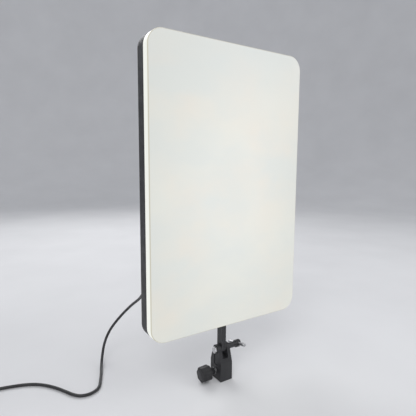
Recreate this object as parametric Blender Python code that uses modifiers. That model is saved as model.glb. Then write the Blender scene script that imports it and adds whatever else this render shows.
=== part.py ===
"""LED panel light on its tilting stand bracket, with its mains lead.

Metres, +Z up. The origin is the centre of the bracket's bottom face, on the axis of the stand socket.
The panel faces -Y. X runs along the tilt axis, which is TILT_Z above the origin.
"""

import math

import bmesh
import bpy
from mathutils import Matrix, Vector

GAP = 0.0003  # clearance between touching pieces

# Light head: the outer box
PANEL_W = 0.352
PANEL_H = 0.550
PANEL_BOTTOM = 0.128
PANEL_R = 0.029
WALL = 0.002
FRONT_Y = -0.0315
CAP_DEPTH = 0.018
CASE_DEPTH = 0.027
SEAM_Y = FRONT_Y + CAP_DEPTH
BACK_Y = SEAM_Y + CASE_DEPTH
REAR_Y = -FRONT_Y
MID_Z = PANEL_BOTTOM + PANEL_H / 2

# Light head: what is inside
FRAME_WIDTH = 0.016
FRAME_INSET = 0.003
SHEET_T = 0.0008
PLATE_T = 0.0015
PLATE_INSET = 0.004
PLATE_Y = SEAM_Y - 0.0011
STRIP_COUNT = 8
STRIP_PITCH = 0.037
STRIP_SIZE = (0.012, 0.001, 0.500)
LEDS_PER_STRIP = 16
LED_SIZE = (0.0050, 0.0008, 0.0050)
SCREW_X = 0.164
SCREW_ROWS = (PANEL_BOTTOM + 0.045, PANEL_BOTTOM + PANEL_H - 0.045)
SCREWS_AT = [(x, z) for x in (-SCREW_X, SCREW_X) for z in SCREW_ROWS]
M3_R = 0.0015
M3_HOLE_R = 0.0018
VENT_SIZE = (0.003, 0.040)
VENT_PITCH = 0.011
VENT_COUNT = 16
VENT_ROWS = (0.335, 0.500, 0.610)
POST_R = 0.004
COVER_EDGE = 0.0024
CASE_EDGE = 0.003

# Driver board
DRIVER_SIZE = (0.130, 0.0016, 0.070)
DRIVER_Y = 0.0060
DRIVER_Z = 0.335
DRIVER_POST = (0.058, 0.028)
DRIVER_POST_R = 0.003

# Control pod on the back
POD_W = 0.110
POD_LOW = 0.165
POD_H = 0.090
POD_BACK = 0.0255
POD_EDGE = 0.0026
POD_INNER = POD_BACK - WALL
BOARD_Y = BACK_Y + 0.0011
BOARD_T = 0.0012
DIAL_Z = 0.192
DIAL_X = {"brightness": 0.036, "colour": 0.008}
DIAL_R = 0.011
SHAFT_R = 0.003
BUTTON_AT = (-0.018, 0.192)
BUTTON_R = 0.004
DISPLAY_AT = (0.018, 0.234)
DISPLAY_SIZE = (0.044, 0.018)
SWITCH_AT = (-0.032, 0.234)
SWITCH_PIVOT_Y = 0.0235
ROCKER_TILT = math.radians(8)
INLET_Z = 0.200
INLET_Y = 0.0186
INLET_DEPTH = 0.0155
NOSE_DEPTH = 0.0115
CONTACT_Z = (INLET_Z - 0.004, INLET_Z + 0.004)

# Stand bracket
BLOCK_W = 0.029
BLOCK_D = 0.038
EAR_T = 0.008
TILT_Z = 0.064
EAR_R = 0.0105
NOTCH_Z = 0.048
SHOULDER_Z = 0.038
SOCKET_R = 0.0082
SOCKET_DEPTH = 0.036
GROOVE_DEPTH = 0.0012
BOLT_R = 0.004
BOLT_HOLE_R = 0.0043
BOLT_END_X = 0.030
TONGUE_T = 0.0102
TONGUE_R = 0.009
WASHER_T = 0.001
FLANGE_SIZE = (0.044, 0.024, 0.003)
M4_X = 0.015
M4_R = 0.002
M4_HOLE_R = 0.0023

# Tilt handle, on the right end of the tilt bolt
HUB_X = (0.034, 0.048)
HUB_R = 0.008
HUB_NECK_R = 0.006
BAR_R = 0.0035
BAR_LENGTH = 0.058
BAR_RISE = math.radians(15)

# Stand lock, on the left side of the socket
LOCK_Z = 0.019
LOCK_TRAVEL = 0.0025
KNOB_R = 0.0165
KNOB_X = (-0.0535, -0.0315)
KNOB_LOBES = 7
NECK_R = 0.0075
LOCK_SCREW_X = (-0.0475, -0.0115)
CAP_R = 0.0092
PAD_R = 0.005
PAD_X = (-0.0109, -0.0086)

# Mains lead: the route starts at the boot's end and stops at the coil's lead-in
CORD_R = 0.003
BOOT_LENGTH = 0.026
PLUG_BODY = (0.020, 0.0095, 0.0185)
EXIT = (-POD_W / 2 - GAP - PLUG_BODY[0] - GAP - BOOT_LENGTH - GAP, INLET_Y, INLET_Z)
ROUTE = [
    EXIT,
    (EXIT[0] - 0.010, INLET_Y, INLET_Z),
    (-0.1289, 0.0232, 0.1993),
    (-0.1413, 0.0356, 0.1978),
    (-0.1458, 0.0526, 0.1942),
    (-0.1433, 0.0760, 0.1868),
    (-0.1385, 0.0990, 0.1755),
    (-0.1348, 0.1220, 0.1605),
    (-0.1400, 0.1580, 0.1342),
    (-0.1529, 0.1880, 0.1030),
    (-0.1658, 0.2060, 0.0762),
    (-0.1733, 0.2125, 0.0608),
    (-0.1812, 0.2128, 0.0458),
    (-0.1890, 0.2070, 0.0310),
    (-0.1955, 0.1966, 0.0190),
    (-0.2022, 0.1822, 0.0096),
    (-0.2088, 0.1645, 0.0044),
    (-0.2155, 0.1440, 0.0030),
    (-0.2252, 0.1180, 0.0030),
    (-0.2330, 0.0998, 0.0030),
    (-0.2424, 0.0892, 0.0030),
    (-0.2582, 0.0840, 0.0030),
    (-0.2735, 0.0880, 0.0030),
    (-0.2848, 0.0996, 0.0030),
    (-0.2960, 0.1195, 0.0030),
    (-0.3098, 0.1423, 0.0030),
    (-0.3258, 0.1624, 0.0030),
    (-0.3423, 0.1765, 0.0030),
    (-0.3599, 0.1858, 0.0030),
    (-0.3777, 0.1918, 0.0030),
    (-0.4041, 0.1978, 0.0033),
]
ROUTE_SPACING = 0.014
COIL_AT = (-0.462, 0.167)
COIL_IN = 0.0238
COIL_OUT = 0.0454
COIL_LOW = 0.0011
COIL_HIGH = 0.0131
COIL_START_R = 0.042
COIL_START = math.radians(76)
COIL_END_R = 0.0422
TIE_T = 0.0008
TIE_WIDTH = 0.012
MAINS_BODY = (0.034, 0.032, 0.0196)
MAINS_BOOT = 0.022
PIN_LENGTH = 0.019
PIN_SPACING = 0.019
PIN_R = 0.002

AXIS_TURNS = {
    "+X": (0, math.pi / 2, 0),
    "-X": (0, -math.pi / 2, 0),
    "+Y": (-math.pi / 2, 0, 0),
    "-Y": (math.pi / 2, 0, 0),
    "+Z": (0, 0, 0),
}

for leftover in list(bpy.data.objects):
    bpy.data.objects.remove(leftover)

PARTS = bpy.data.collections.new("led_panel_light")
CUTTERS = bpy.data.collections.new("cutters")
for collection in (PARTS, CUTTERS):
    bpy.context.scene.collection.children.link(collection)


def material(name, colour, roughness, metallic=0.0):
    made = bpy.data.materials.new(name)
    made.use_nodes = True
    shader = made.node_tree.nodes["Principled BSDF"]
    shader.inputs["Base Color"].default_value = (*colour, 1)
    shader.inputs["Roughness"].default_value = roughness
    shader.inputs["Metallic"].default_value = metallic
    return made


OPAL = material("opal_diffuser", (0.90, 0.90, 0.86), 0.45)
WHITE_PLASTIC = material("white_plastic", (0.86, 0.86, 0.84), 0.5)
BLACK_PLASTIC = material("black_plastic", (0.03, 0.03, 0.035), 0.55)
CAST_BLACK = material("black_bracket", (0.035, 0.035, 0.04), 0.5)
RUBBER = material("black_rubber", (0.02, 0.02, 0.02), 0.8)
STEEL = material("steel", (0.62, 0.62, 0.62), 0.3, 1.0)
ALUMINIUM = material("aluminium", (0.75, 0.75, 0.76), 0.4, 1.0)
BOARD_GREEN = material("board", (0.05, 0.16, 0.09), 0.5)
BOARD_WHITE = material("led_board", (0.88, 0.88, 0.86), 0.4)
CLEAR = material("window", (0.08, 0.09, 0.10), 0.1)
LEAD = material("cord_jacket", (0.02, 0.02, 0.022), 0.5)


def place(name, mesh, finish=None, at=(0, 0, 0), turn=(0, 0, 0), helper=False):
    """A named object of the assembly, or a cutter that only shapes other pieces."""
    made = bpy.data.objects.new(name, mesh)
    made.location = at
    made.rotation_euler = turn
    (CUTTERS if helper else PARTS).objects.link(made)
    if helper:
        made.hide_render = True
        made.display_type = "WIRE"
    elif not mesh.materials:
        mesh.materials.append(finish)
    return made


def to_mesh(name, bm, smooth_above=None):
    bmesh.ops.recalc_face_normals(bm, faces=bm.faces)
    mesh = bpy.data.meshes.new(name)
    bm.to_mesh(mesh)
    bm.free()
    if smooth_above:
        mesh.shade_smooth()
        mesh.set_sharp_from_angle(angle=math.radians(smooth_above))
    return mesh


def add_box(bm, low, high):
    made = bmesh.ops.create_cube(bm, size=1)["verts"]
    low, high = Vector(low), Vector(high)
    bmesh.ops.scale(bm, vec=high - low, verts=made)
    bmesh.ops.translate(bm, vec=(low + high) / 2, verts=made)
    return made


def box(name, low, high, finish=None, bevel=0.0, helper=False):
    bm = bmesh.new()
    add_box(bm, low, high)
    if bevel:
        bmesh.ops.bevel(bm, geom=bm.edges[:], offset=bevel, segments=2, profile=0.5, affect="EDGES")
    return place(name, to_mesh(name, bm, 40), finish, helper=helper)


def around(centre, size):
    """The two corners of a box given by its centre and its size."""
    centre, half = Vector(centre), Vector(size) / 2
    return centre - half, centre + half


def boxes(name, corners):
    """One cutter made of several boxes that don't touch."""
    bm = bmesh.new()
    for low, high in corners:
        add_box(bm, low, high)
    return place(name, to_mesh(name, bm), helper=True)


def rods(name, radius, ends, sides=16):
    """One helper made of several straight round rods, each from one point to another."""
    bm = bmesh.new()
    for start, end in ends:
        start, end = Vector(start), Vector(end)
        run = end - start
        turn = Vector((0, 0, 1)).rotation_difference(run).to_matrix().to_4x4()
        bmesh.ops.create_cone(
            bm,
            cap_ends=True,
            segments=sides,
            radius1=radius,
            radius2=radius,
            depth=run.length,
            matrix=Matrix.Translation((start + end) / 2) @ turn,
        )
    return place(name, to_mesh(name, bm), helper=True)


def turned(name, profile, finish, at, axis, steps=24, helper=False):
    """A piece turned about a line through `at`.

    The profile is (radius, distance along the axis), far end first.
    """
    mesh = bpy.data.meshes.new(name)
    points = [(radius, 0, along) for radius, along in profile]
    closed = min(radius for radius, _ in profile) > 0
    edges = [(i, i + 1) for i in range(len(points) - 1)]
    if closed:
        edges.append((len(points) - 1, 0))
    mesh.from_pydata(points, edges, [])
    made = place(name, mesh, finish, at, AXIS_TURNS[axis], helper)
    screw = made.modifiers.new("turn", "SCREW")
    screw.steps = screw.render_steps = steps
    screw.use_merge_vertices = True
    screw.merge_threshold = 0.00001
    return made


def rounded_block(width, height, radius, y_low, y_high, mid_z, steps=6):
    """A block seen from the front as a rectangle with round corners."""
    bm = bmesh.new()
    size = Vector((width / 2, 0, height / 2))
    add_box(bm, (-size.x, y_low, mid_z - size.z), (size.x, y_high, mid_z + size.z))
    corners = [e for e in bm.edges if abs(e.verts[0].co.y - e.verts[1].co.y) > 0.0001]
    bmesh.ops.bevel(bm, geom=corners, offset=radius, segments=steps, profile=0.5, affect="EDGES")
    return bm


def plate(name, width, height, radius, y_low, y_high, mid_z, finish=None, steps=6, helper=False):
    bm = rounded_block(width, height, radius, y_low, y_high, mid_z, steps)
    return place(name, to_mesh(name, bm, 40), finish, helper=helper)


def tray(name, width, height, radius, closed_y, open_y, mid_z, finish, steps, edge):
    """A shell WALL thick, with a flat floor at closed_y, side walls, and a mouth at open_y.

    The floor's outer edge is rounded by more than WALL, so the inner side has no fold.
    """
    y_low, y_high = sorted((closed_y, open_y))
    bm = rounded_block(width, height, radius, y_low, y_high, mid_z, steps)
    at_mouth = [f for f in bm.faces if all(abs(v.co.y - open_y) < 1e-6 for v in f.verts)]
    bmesh.ops.delete(bm, geom=at_mouth, context="FACES_ONLY")
    rim = [e for e in bm.edges if all(abs(v.co.y - closed_y) < 1e-6 for v in e.verts)]
    bmesh.ops.bevel(bm, geom=rim, offset=edge, segments=2, profile=0.5, affect="EDGES")
    bmesh.ops.recalc_face_normals(bm, faces=bm.faces)
    floor = min(bm.faces, key=lambda f: abs(f.calc_center_median().y - closed_y))
    if floor.normal.y * (closed_y - open_y) < 0:
        bmesh.ops.reverse_faces(bm, faces=bm.faces)
    mesh = bpy.data.meshes.new(name)
    bm.to_mesh(mesh)
    bm.free()
    mesh.shade_smooth()
    mesh.set_sharp_from_angle(angle=math.radians(40))
    made = place(name, mesh, finish)
    shell = made.modifiers.new("shell", "SOLIDIFY")
    shell.thickness = WALL
    shell.offset = -1
    shell.use_even_offset = True
    return made


def outline(name, points, thickness, matrix, finish=None, helper=False):
    """A flat outline extruded to a thickness about its own plane, as a closed mesh."""
    curve = bpy.data.curves.new(name, "CURVE")
    curve.dimensions = "2D"
    curve.fill_mode = "BOTH"
    curve.extrude = thickness / 2
    spline = curve.splines.new("POLY")
    spline.points.add(len(points) - 1)
    for point, (u, v) in zip(spline.points, points):
        point.co = (u, v, 0, 1)
    spline.use_cyclic_u = True
    drawn = bpy.data.objects.new(name + "_outline", curve)
    bpy.context.scene.collection.objects.link(drawn)
    bpy.context.view_layer.update()
    mesh = bpy.data.meshes.new_from_object(
        drawn.evaluated_get(bpy.context.evaluated_depsgraph_get())
    )
    bpy.data.objects.remove(drawn)
    bm = bmesh.new()
    bm.from_mesh(mesh)
    bpy.data.meshes.remove(mesh)
    bmesh.ops.remove_doubles(bm, verts=bm.verts, dist=0.00001)
    made = place(name, to_mesh(name, bm, 40), finish, helper=helper)
    made.matrix_world = matrix
    return made


def arc(centre, radius, start, end, steps):
    """Points on a circle from one angle to another, in degrees."""
    turns = [math.radians(start + (end - start) * i / steps) for i in range(steps + 1)]
    return [(centre[0] + radius * math.cos(a), centre[1] + radius * math.sin(a)) for a in turns]


def combine(piece, other, operation):
    joined = piece.modifiers.new(operation.lower(), "BOOLEAN")
    joined.operation = operation
    joined.object = other
    return piece


def cut(piece, *cutters):
    for cutter in cutters:
        combine(piece, cutter, "DIFFERENCE")
    return piece


def unite(piece, *others):
    for other in others:
        combine(piece, other, "UNION")
    return piece


def ride(name, at, *pieces):
    """Parents pieces to an empty on their joint's axis."""
    pivot = bpy.data.objects.new(name, None)
    pivot.location = at
    PARTS.objects.link(pivot)
    bpy.context.view_layer.update()
    for piece in pieces:
        world = piece.matrix_world.copy()
        piece.parent = pivot
        piece.matrix_world = world
    return pivot


ACROSS_X = Matrix(((0, 0, 1, 0), (1, 0, 0, 0), (0, 1, 0, 0), (0, 0, 0, 1)))


def make_cover():
    """The opal cap, the sheet behind it and the ring that spaces them from the lamps."""
    tray(
        "diffuser_cover", PANEL_W, PANEL_H, PANEL_R, FRONT_Y, SEAM_Y, MID_Z,
        OPAL, steps=8, edge=COVER_EDGE,
    )
    inner_front = FRONT_Y + WALL
    sheet_y = inner_front + 0.0005
    plate(
        "diffusion_sheet", PANEL_W - 2 * PLATE_INSET, PANEL_H - 2 * PLATE_INSET, PANEL_R - PLATE_INSET,
        sheet_y, sheet_y + SHEET_T, MID_Z, WHITE_PLASTIC,
    )
    ring_front = sheet_y + SHEET_T + GAP
    ring_back = PLATE_Y - 0.0004
    ring = plate(
        "spacer_frame", PANEL_W - 2 * FRAME_INSET, PANEL_H - 2 * FRAME_INSET, PANEL_R - FRAME_INSET,
        ring_front, ring_back, MID_Z, WHITE_PLASTIC,
    )
    inset = 2 * (FRAME_INSET + FRAME_WIDTH)
    opening = plate(
        "frame_opening", PANEL_W - inset, PANEL_H - inset, PANEL_R / 2,
        ring_front - 0.001, ring_back + 0.001, MID_Z, helper=True,
    )
    runs = [((x, ring_back - 0.009, z), (x, ring_back + 0.001, z)) for x, z in SCREWS_AT]
    cut(ring, opening, rods("frame_screw_holes", M3_HOLE_R, runs, sides=12))


def make_lamps():
    """The back plate and its vertical strips of light-emitting diodes."""
    back = plate(
        "led_plate", PANEL_W - 2 * PLATE_INSET, PANEL_H - 2 * PLATE_INSET, PANEL_R - PLATE_INSET,
        PLATE_Y, PLATE_Y + PLATE_T, MID_Z, ALUMINIUM,
    )
    runs = [((x, PLATE_Y - 0.001, z), (x, PLATE_Y + 0.003, z)) for x, z in SCREWS_AT]
    cut(back, rods("plate_screw_holes", M3_HOLE_R, runs, sides=12))
    thick, length = STRIP_SIZE[1:]
    pitch = length / LEDS_PER_STRIP
    rows = [(i - (LEDS_PER_STRIP - 1) / 2) * pitch for i in range(LEDS_PER_STRIP)]
    blank = box("strip_blank", *around((0, 0, 0), STRIP_SIZE), helper=True)
    lamps = boxes("strip_lamps", [around((0, -thick / 2, z), LED_SIZE) for z in rows])
    unite(blank, lamps)
    bpy.context.view_layer.update()
    mesh = bpy.data.meshes.new_from_object(
        blank.evaluated_get(bpy.context.evaluated_depsgraph_get())
    )
    mesh.materials.clear()
    mesh.materials.append(BOARD_WHITE)
    for i in range(STRIP_COUNT):
        x = (i - (STRIP_COUNT - 1) / 2) * STRIP_PITCH
        place(f"led_strip_{i + 1}", mesh, at=(x, PLATE_Y - GAP - thick / 2, MID_Z))


def make_housing():
    """The rear casing, with its posts, vents and the holes for what passes through it."""
    housing = tray(
        "rear_housing", PANEL_W, PANEL_H, PANEL_R, BACK_Y, SEAM_Y + GAP, MID_Z,
        BLACK_PLASTIC, steps=8, edge=CASE_EDGE,
    )
    inner = BACK_Y - WALL
    overlap = WALL / 2
    post_start = PLATE_Y + PLATE_T + GAP
    posts = rods("screw_posts", POST_R, [((x, post_start, z), (x, inner + overlap, z)) for x, z in SCREWS_AT])
    post_x, post_z = DRIVER_POST
    board_back = DRIVER_Y + DRIVER_SIZE[1] + GAP
    board_posts = rods(
        "board_posts", DRIVER_POST_R,
        [
            ((x, board_back, DRIVER_Z + z), (x, inner + overlap, DRIVER_Z + z))
            for x in (-post_x, post_x)
            for z in (-post_z, post_z)
        ],
        sides=12,
    )
    unite(housing, posts, board_posts)
    bores = rods(
        "post_bores", M3_HOLE_R,
        [((x, SEAM_Y - 0.01, z), (x, BACK_Y + 0.001, z)) for x, z in SCREWS_AT],
        sides=12,
    )
    wide, tall = VENT_SIZE
    slots = boxes(
        "vent_slots",
        [
            around((x, BACK_Y - overlap, z), (wide, 2 * WALL, tall))
            for z in VENT_ROWS
            for x in [(i - (VENT_COUNT - 1) / 2) * VENT_PITCH for i in range(VENT_COUNT)]
            if abs(abs(x) - post_x) > DRIVER_POST_R + wide / 2 or z != DRIVER_Z
        ],
    )
    wires = boxes("wire_hole", [around((0, BACK_Y - overlap, 0.210), (0.016, 2 * WALL, 0.010))])
    tongue_holes = rods(
        "tongue_screw_holes", M4_HOLE_R,
        [((x, 0, PANEL_BOTTOM - 0.001), (x, 0, PANEL_BOTTOM + 0.004)) for x in (-M4_X, M4_X)],
    )
    cut(housing, bores, slots, wires, tongue_holes)
    head = 0.0028
    shaft_end = PLATE_Y - 0.006
    for i, (x, z) in enumerate(SCREWS_AT):
        turned(
            f"housing_screw_{i + 1}",
            [
                (0, BACK_Y + GAP + 0.0016),
                (head * 0.7, BACK_Y + GAP + 0.0016),
                (head, BACK_Y + GAP + 0.0006),
                (head, BACK_Y + GAP),
                (M3_R, BACK_Y + GAP),
                (M3_R, shaft_end),
                (0, shaft_end),
            ],
            STEEL, (x, 0, z), "+Y", steps=12,
        )


def make_driver():
    """The driver board and the parts on it."""
    low = DRIVER_Z - DRIVER_SIZE[2] / 2
    box("driver_board", *around((0, DRIVER_Y + DRIVER_SIZE[1] / 2, DRIVER_Z), DRIVER_SIZE), BOARD_GREEN)
    face = DRIVER_Y - GAP
    transformer = around((-0.006, face - 0.007, low + 0.033), (0.028, 0.014, 0.026))
    box("driver_transformer", *transformer, BLACK_PLASTIC, 0.001)
    box("driver_heatsink", *around((0.0205, face - 0.0075, low + 0.035), (0.005, 0.015, 0.050)), ALUMINIUM)
    turned(
        "driver_capacitor",
        [(0, 0.020), (0.0045, 0.020), (0.005, 0.0195), (0.005, 0.0005), (0.0045, 0), (0, 0)],
        BLACK_PLASTIC, (-0.045, face - 0.0055, low + 0.025), "+Z", steps=20,
    )
    box("driver_terminal", *around((0.048, face - 0.005, low + 0.029), (0.016, 0.010, 0.010)), WHITE_PLASTIC)


def make_tongue_block():
    """The nut block inside the casing, and the tongue that carries the panel on the tilt bolt."""
    low = PANEL_BOTTOM + WALL + GAP
    block = box("tongue_nut_block", (-0.030, -0.009, low), (0.030, 0.010, low + 0.010), ALUMINIUM)
    m4_runs = [((x, 0, PANEL_BOTTOM - 0.01), (x, 0, low + 0.011)) for x in (-M4_X, M4_X)]
    m4_holes = rods("m4_holes", M4_HOLE_R, m4_runs)
    cut(block, m4_holes)
    flange_top = PANEL_BOTTOM - GAP
    flange_x, flange_y, flange_t = FLANGE_SIZE
    top = flange_top - flange_t / 2
    side = [(-TONGUE_R, top)] + arc((0, TILT_Z), TONGUE_R, 180, 360, 14) + [(TONGUE_R, top)]
    tongue = outline("tilt_tongue", side, TONGUE_T, ACROSS_X, CAST_BLACK)
    flange = box(
        "tongue_flange", (-flange_x / 2, -flange_y / 2, flange_top - flange_t),
        (flange_x / 2, flange_y / 2, flange_top), bevel=0.0006, helper=True,
    )
    bolt_run = ((-0.01, 0, TILT_Z), (0.01, 0, TILT_Z))
    bolt_hole = rods("tongue_bolt_hole", BOLT_HOLE_R, [bolt_run], sides=20)
    unite(tongue, flange)
    cut(tongue, bolt_hole, m4_holes)
    under = flange_top - flange_t - GAP
    for i, x in enumerate((-M4_X, M4_X)):
        turned(
            f"tongue_screw_{i + 1}",
            [
                (0, low + 0.008), (M4_R, low + 0.008), (M4_R, under), (0.0035, under),
                (0.0035, under - 0.0014), (0.0022, under - 0.0026), (0, under - 0.0026),
            ],
            STEEL, (x, 0, 0), "+Z", steps=16,
        )


def make_pod():
    """The control pod on the back: its shell, display, board and mains inlet."""
    mid_z = POD_LOW + POD_H / 2
    pod = tray(
        "control_pod", POD_W, POD_H, 0.010, POD_BACK, BACK_Y + GAP, mid_z,
        BLACK_PLASTIC, steps=4, edge=POD_EDGE,
    )
    low, high = POD_INNER - 0.001, POD_BACK + 0.001
    wall_mid, cut_depth = (low + high) / 2, high - low
    shown_x, shown_z = DISPLAY_AT
    shown_w, shown_h = DISPLAY_SIZE
    aperture = plate("display_aperture", shown_w, shown_h, 0.002, low, high, 0, steps=2, helper=True)
    aperture.location = (shown_x, 0, shown_z)
    shaft_runs = [((x, low, DIAL_Z), (x, high, DIAL_Z)) for x in DIAL_X.values()]
    shaft_holes = rods("shaft_holes", SHAFT_R + 0.0005, shaft_runs)
    button_x, button_z = BUTTON_AT
    button_run = ((button_x, low, button_z), (button_x, high, button_z))
    button_hole = rods("button_hole", BUTTON_R + GAP, [button_run], sides=20)
    openings = boxes(
        "switch_and_inlet_openings",
        [
            around((SWITCH_AT[0], wall_mid, SWITCH_AT[1]), (0.0196, cut_depth, 0.0132)),
            around((0.001 - POD_W / 2, INLET_Y, INLET_Z), (0.004, 0.0084, 0.0186)),
        ],
    )
    cut(pod, aperture, shaft_holes, button_hole, openings)
    board = around((0.009, BOARD_Y + BOARD_T / 2, mid_z), (0.084, BOARD_T, POD_H - 0.010))
    box("control_board", *board, BOARD_GREEN)
    window = plate(
        "display_window", shown_w - 2 * GAP, shown_h - 2 * GAP, 0.002 - GAP,
        POD_INNER + 0.0004, POD_BACK - 0.0003, 0, CLEAR, steps=2,
    )
    window.location = (shown_x, 0, shown_z)
    module = around((shown_x, POD_INNER - 0.0024, shown_z), (0.051, 0.0042, 0.023))
    box("display_module", *module, BLACK_PLASTIC, 0.0004)
    make_inlet()


def make_inlet():
    """The mains inlet in the pod's left wall, the plug in it and the plug's boot."""
    mouth = -POD_W / 2 + GAP
    body = around((mouth + INLET_DEPTH / 2, INLET_Y, INLET_Z), (INLET_DEPTH, 0.0078, 0.018))
    inlet = box("mains_inlet", *body, BLACK_PLASTIC)
    pocket_end = NOSE_DEPTH + 2 * GAP
    pocket = around((mouth + pocket_end / 2 - 0.001, INLET_Y, INLET_Z), (pocket_end + 0.002, 0.0062, 0.0148))
    contact_ends = (mouth + 0.003, mouth + INLET_DEPTH - 0.001)
    contact_runs = [[(x, INLET_Y, z) for x in contact_ends] for z in CONTACT_Z]
    cut(inlet, boxes("inlet_pocket", [pocket]))
    unite(inlet, rods("inlet_contacts", 0.0010, contact_runs, sides=8))
    body_x, body_y, body_z = PLUG_BODY
    face = -POD_W / 2 - GAP
    plug = box(
        "inlet_plug", (face - body_x, INLET_Y - body_y / 2, INLET_Z - body_z / 2),
        (face, INLET_Y + body_y / 2, INLET_Z + body_z / 2), RUBBER, 0.0016,
    )
    nose_start, nose_end = face - 0.002, mouth + NOSE_DEPTH
    nose = around(((nose_start + nose_end) / 2, INLET_Y, INLET_Z), (nose_end - nose_start, 0.0056, 0.0142))
    unite(plug, box("plug_nose", *nose, helper=True))
    socket_runs = [((mouth + 0.002, INLET_Y, z), (nose_end + 0.001, INLET_Y, z)) for z in CONTACT_Z]
    cut(plug, rods("plug_sockets", 0.0014, socket_runs, sides=8))
    boot_start = face - body_x - GAP
    ribs = 5
    pitch = BOOT_LENGTH / ribs
    profile = [(0, BOOT_LENGTH)]
    for i in range(ribs, 0, -1):
        outer = CORD_R + 0.0004 + 0.0014 * (1 - (i - 0.5) / ribs)
        profile += [(outer, i * pitch), (outer, (i - 0.6) * pitch)]
        if i > 1:
            profile += [(outer - 0.0006, (i - 0.7) * pitch), (outer - 0.0004, (i - 0.95) * pitch)]
    profile += [(profile[-1][0], 0), (0, 0)]
    turned("strain_relief", profile, RUBBER, (boot_start, INLET_Y, INLET_Z), "-X", steps=16)


def make_dials():
    """Two dials with their shafts and encoders."""
    for label, x in DIAL_X.items():
        start, end = BOARD_Y + BOARD_T + GAP, POD_INNER - 0.001
        body = (x - 0.006, start, DIAL_Z - 0.006), (x + 0.006, end, DIAL_Z + 0.006)
        encoder = box(f"{label}_encoder", *body, STEEL)
        bore = rods(f"{label}_bore", SHAFT_R + 0.0002, [((x, 0.0190, DIAL_Z), (x, 0.0300, DIAL_Z))])
        cut(encoder, bore)
        shaft = turned(
            f"{label}_shaft", [(0, 0.0295), (SHAFT_R, 0.0295), (SHAFT_R, 0.0193), (0, 0.0193)],
            ALUMINIUM, (x, 0, DIAL_Z), "+Y", steps=16,
        )
        top, base = REAR_Y, POD_BACK + GAP
        hollow = SHAFT_R + 0.0002
        dial = turned(
            f"{label}_dial",
            [
                (0, top - 0.0004), (DIAL_R * 0.45, top - 0.0004), (DIAL_R * 0.80, top),
                (DIAL_R * 0.92, top - 0.0002), (DIAL_R, top - 0.0012), (DIAL_R, base),
                (hollow, base), (hollow, 0.0298), (0, 0.0298),
            ],
            BLACK_PLASTIC, (x, 0, DIAL_Z), "+Y", steps=32,
        )
        mark = around((x, top - 0.0001, DIAL_Z + 0.0076), (0.0010, 0.0022, 0.0052))
        cut(dial, boxes(f"{label}_mark", [mark]))
        ride(f"{label}_axis", (x, POD_BACK, DIAL_Z), dial, shaft)


def make_button_and_switch():
    """The mode button over its tact switch, and the power rocker in its frame."""
    x, z = BUTTON_AT
    start, end = BOARD_Y + BOARD_T + GAP, 0.0198
    box("button_switch", (x - 0.003, start, z - 0.003), (x + 0.003, end, z + 0.003), STEEL)
    button = turned(
        "mode_button",
        [
            (0, 0.0274), (BUTTON_R - 0.0008, 0.0274), (BUTTON_R, 0.0268), (BUTTON_R, POD_INNER - 0.0005),
            (BUTTON_R + 0.0010, POD_INNER - 0.0005), (BUTTON_R + 0.0010, POD_INNER - 0.0015),
            (0.002, POD_INNER - 0.0015), (0.002, 0.0210), (0, 0.0210),
        ],
        WHITE_PLASTIC, (x, 0, z), "+Y", steps=20,
    )
    ride("mode_button_axis", (x, POD_BACK, z), button)
    x, z = SWITCH_AT
    rim_low, rim_high, stem_low, floor = POD_BACK + GAP, POD_BACK + 0.0016, 0.0165, 0.0190
    rim = (x - 0.0112, rim_low, z - 0.0080), (x + 0.0112, rim_high, z + 0.0080)
    stem = (x - 0.0095, stem_low, z - 0.0063), (x + 0.0095, POD_BACK + 0.0008, z + 0.0063)
    pocket = (x - 0.0080, floor, z - 0.0050), (x + 0.0080, rim_high + 0.001, z + 0.0050)
    frame = box("switch_frame", *rim, BLACK_PLASTIC, 0.0004)
    unite(frame, box("switch_stem", *stem, helper=True))
    cut(frame, boxes("switch_pocket", [pocket]))
    upright = Matrix.Translation((x, SWITCH_PIVOT_Y, z)) @ Matrix.Rotation(ROCKER_TILT, 4, "Z")
    reach = 0.0073
    faces = [(-reach, 0.0032), (-reach, -0.0020), (0, -0.0026), (reach, -0.0020), (reach, 0.0032), (0, 0.0022)]
    rocker = outline("power_rocker", faces, 0.0094, upright, BLACK_PLASTIC)
    ride("power_rocker_axis", (x, SWITCH_PIVOT_Y, z), rocker)


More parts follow.
